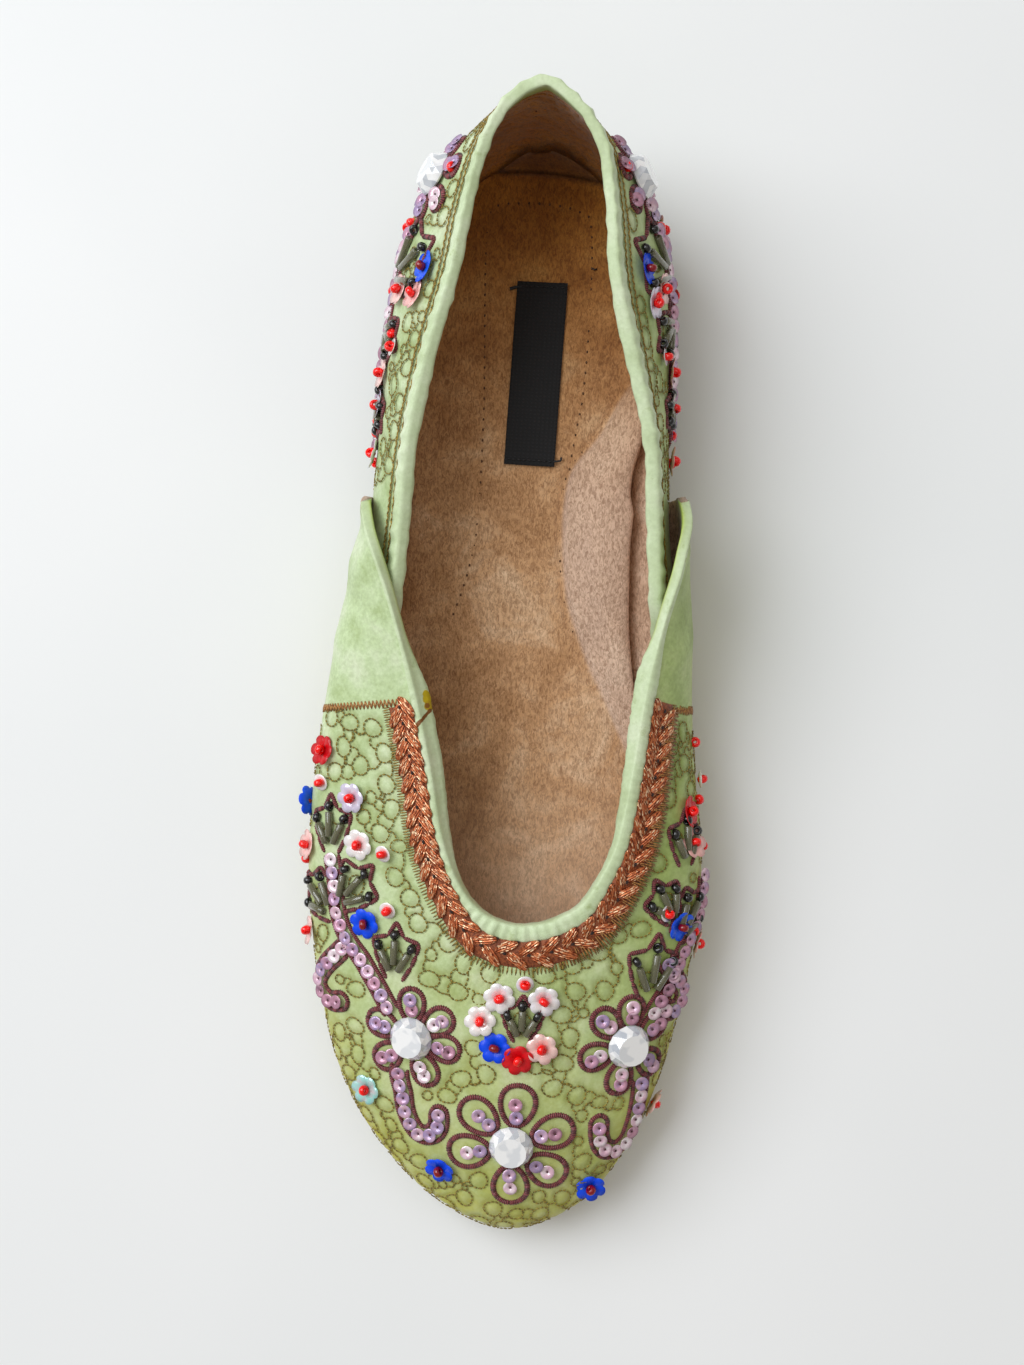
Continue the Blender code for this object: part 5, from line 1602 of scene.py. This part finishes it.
def foilBack():
    d = stoneDress
    bm = bmesh.new()
    bmesh.ops.create_cone(bm, cap_ends=True, segments=d["facets"], radius1=d["foilTip"] * mm,
                          radius2=d["foilRadius"] * mm, depth=d["foilDepth"] * mm)
    bmesh.ops.translate(bm, verts=bm.verts[:], vec=(0, 0, d["foilLift"] * mm))
    rim = [f for f in bm.faces if len(f.verts) == d["facets"] and f.calc_center_median().z > 0.6 * mm]
    for inset in d["foilInsets"]:
        bmesh.ops.inset_region(bm, faces=rim, thickness=inset * mm)
    bmesh.ops.translate(bm, verts=[v for f in rim for v in f.verts], vec=(0, 0, -d["foilDip"] * mm))
    bmesh.ops.poke(bm, faces=rim, offset=d["foilPeak"] * mm)
    # every second facet takes the grey foil: painted shade
    for face in bm.faces:
        face.material_index = int(facetAngle(face) // (360 / d["facets"])) % 2
    return bm


def setStones():
    d = stoneDress
    for node in flowerChart:
        seat, normal = skin.snap(stoneMiddle(node))
        place = frameAt(seat, normal, Vector(d["heading"]), lift=d["lift"])
        for kind, make, materials, replaced in (("facetedStone", facetedStone, acrylic, [node]),
                                                ("foilBack", foilBack, foil, ())):
            bm = make()
            bmesh.ops.transform(bm, matrix=place, verts=bm.verts[:])
            finishPiece(node.replace("stone", kind), bm, materials, replaced, smooth=False)


setStones()
print("stones set")


def soleRubber(name, dark, light):
    # Moulded thermoplastic rubber, matt, scuffed grey along its edge.
    material, tree, shader = newMaterial(name, Roughness=0.68, Specular_IOR_Level=0.4)
    coords = addNode(tree, "TexCoord", {}, "Object")
    scuffs, fine, coarse = (
        addNode(tree, "TexNoise", {
            "Vector": coords, "Scale": 1000 / size, "Detail": detail, "Roughness": rough}, "Fac")
        for size, detail, rough in ((8, 5, 0.7), (0.6, 2, 0.6), (4, 4, 0.7)))
    color = addNode(tree, "ValToRGB", {"Fac": scuffs}, stops=((0.35, dark), (0.70, light)))
    finishSurface(tree, shader, color, (fine, 0.3, 0.1), (coarse, 0.2, 0.3))
    return material


for node, material in (("outsole", soleRubber("brownRubberMoulded", "#3A2A1E", "#5A4432")),
                       ("heel", soleRubber("darkRubberHeelMoulded", "#2A1E16", "#45342A"))):
    piece = bpy.data.objects[node]
    piece.data.materials.clear()
    piece.data.materials.append(material)

stageSetup = dict(
    floor=1.6, camera=(31.5, -2.7, 356.0), aim=(1.0, 0.0, 17.0), up=(-0.0304, 0.9995, 0.0), lens=39.5, sensor=36,
    room="#F5EEE4", roomStrength=0.36,
    # place and size in metres, power in watts, colour
    lights=dict(windowLight=((-0.95, 0.55, 1.25), 1.3, 24.0, "#F4F9FF"),
                skylight=((0.2, 0.5, 1.7), 1.6, 5.0, "#FFFFFF")),
)


def layFloor():
    bm = bmesh.new()
    bmesh.ops.create_grid(bm, x_segments=2, y_segments=2, size=stageSetup["floor"])
    mesh = bpy.data.meshes.new("paleFloor")
    bm.to_mesh(mesh)
    bm.free()
    # Sheet with a white satin lacquer, sprayed: almost even, with a soft blurred sheen.
    material, tree, shader = newMaterial("whiteLacquerSheet", Roughness=0.5, Specular_IOR_Level=0.25)
    coords = addNode(tree, "TexCoord", {}, "Object")
    cloud = addNode(tree, "TexNoise", {"Vector": coords, "Scale": 1000 / 240, "Detail": 3.0}, "Fac")
    finishSurface(tree, shader, addNode(tree, "ValToRGB", {"Fac": cloud},
                                        stops=((0.35, "#ECEEEE"), (0.65, "#F3F4F4"))))
    mesh.materials.append(material)
    floor = bpy.data.objects.new("paleFloor", mesh)
    bpy.context.scene.collection.objects.link(floor)


def setStage():
    s, scene = stageSetup, bpy.context.scene
    world = scene.world = bpy.data.worlds.new("softRoom")
    world.use_nodes = True
    feed(world.node_tree, world.node_tree.nodes["Background"], {"Color": s["room"], "Strength": s["roomStrength"]})
    for name, (place, size, power, code) in s["lights"].items():
        light = bpy.data.lights.new(name, "AREA")
        light.shape = "SQUARE"
        light.size = size
        light.energy = power
        light.color = hexColor(code)[:3]
        lamp = bpy.data.objects.new(name, light)
        scene.collection.objects.link(lamp)
        lamp.location = place
        lamp.rotation_euler = (-Vector(place)).to_track_quat("-Z", "Y").to_euler()
    camera = bpy.data.objects.new("camera", bpy.data.cameras.new("camera"))
    scene.collection.objects.link(camera)
    spot, aim = Vector(s["camera"]) * mm, Vector(s["aim"]) * mm
    z = (spot - aim).normalized()
    x = Vector(s["up"]).cross(z).normalized()
    camera.matrix_world = Matrix.Translation(spot) @ Matrix((x, z.cross(x), z)).transposed().to_4x4()
    camera.data.lens = s["lens"]
    camera.data.sensor_width = s["sensor"]
    scene.camera = camera
    scene.view_settings.view_transform = "Standard"


layFloor()
setStage()
print("stage set")
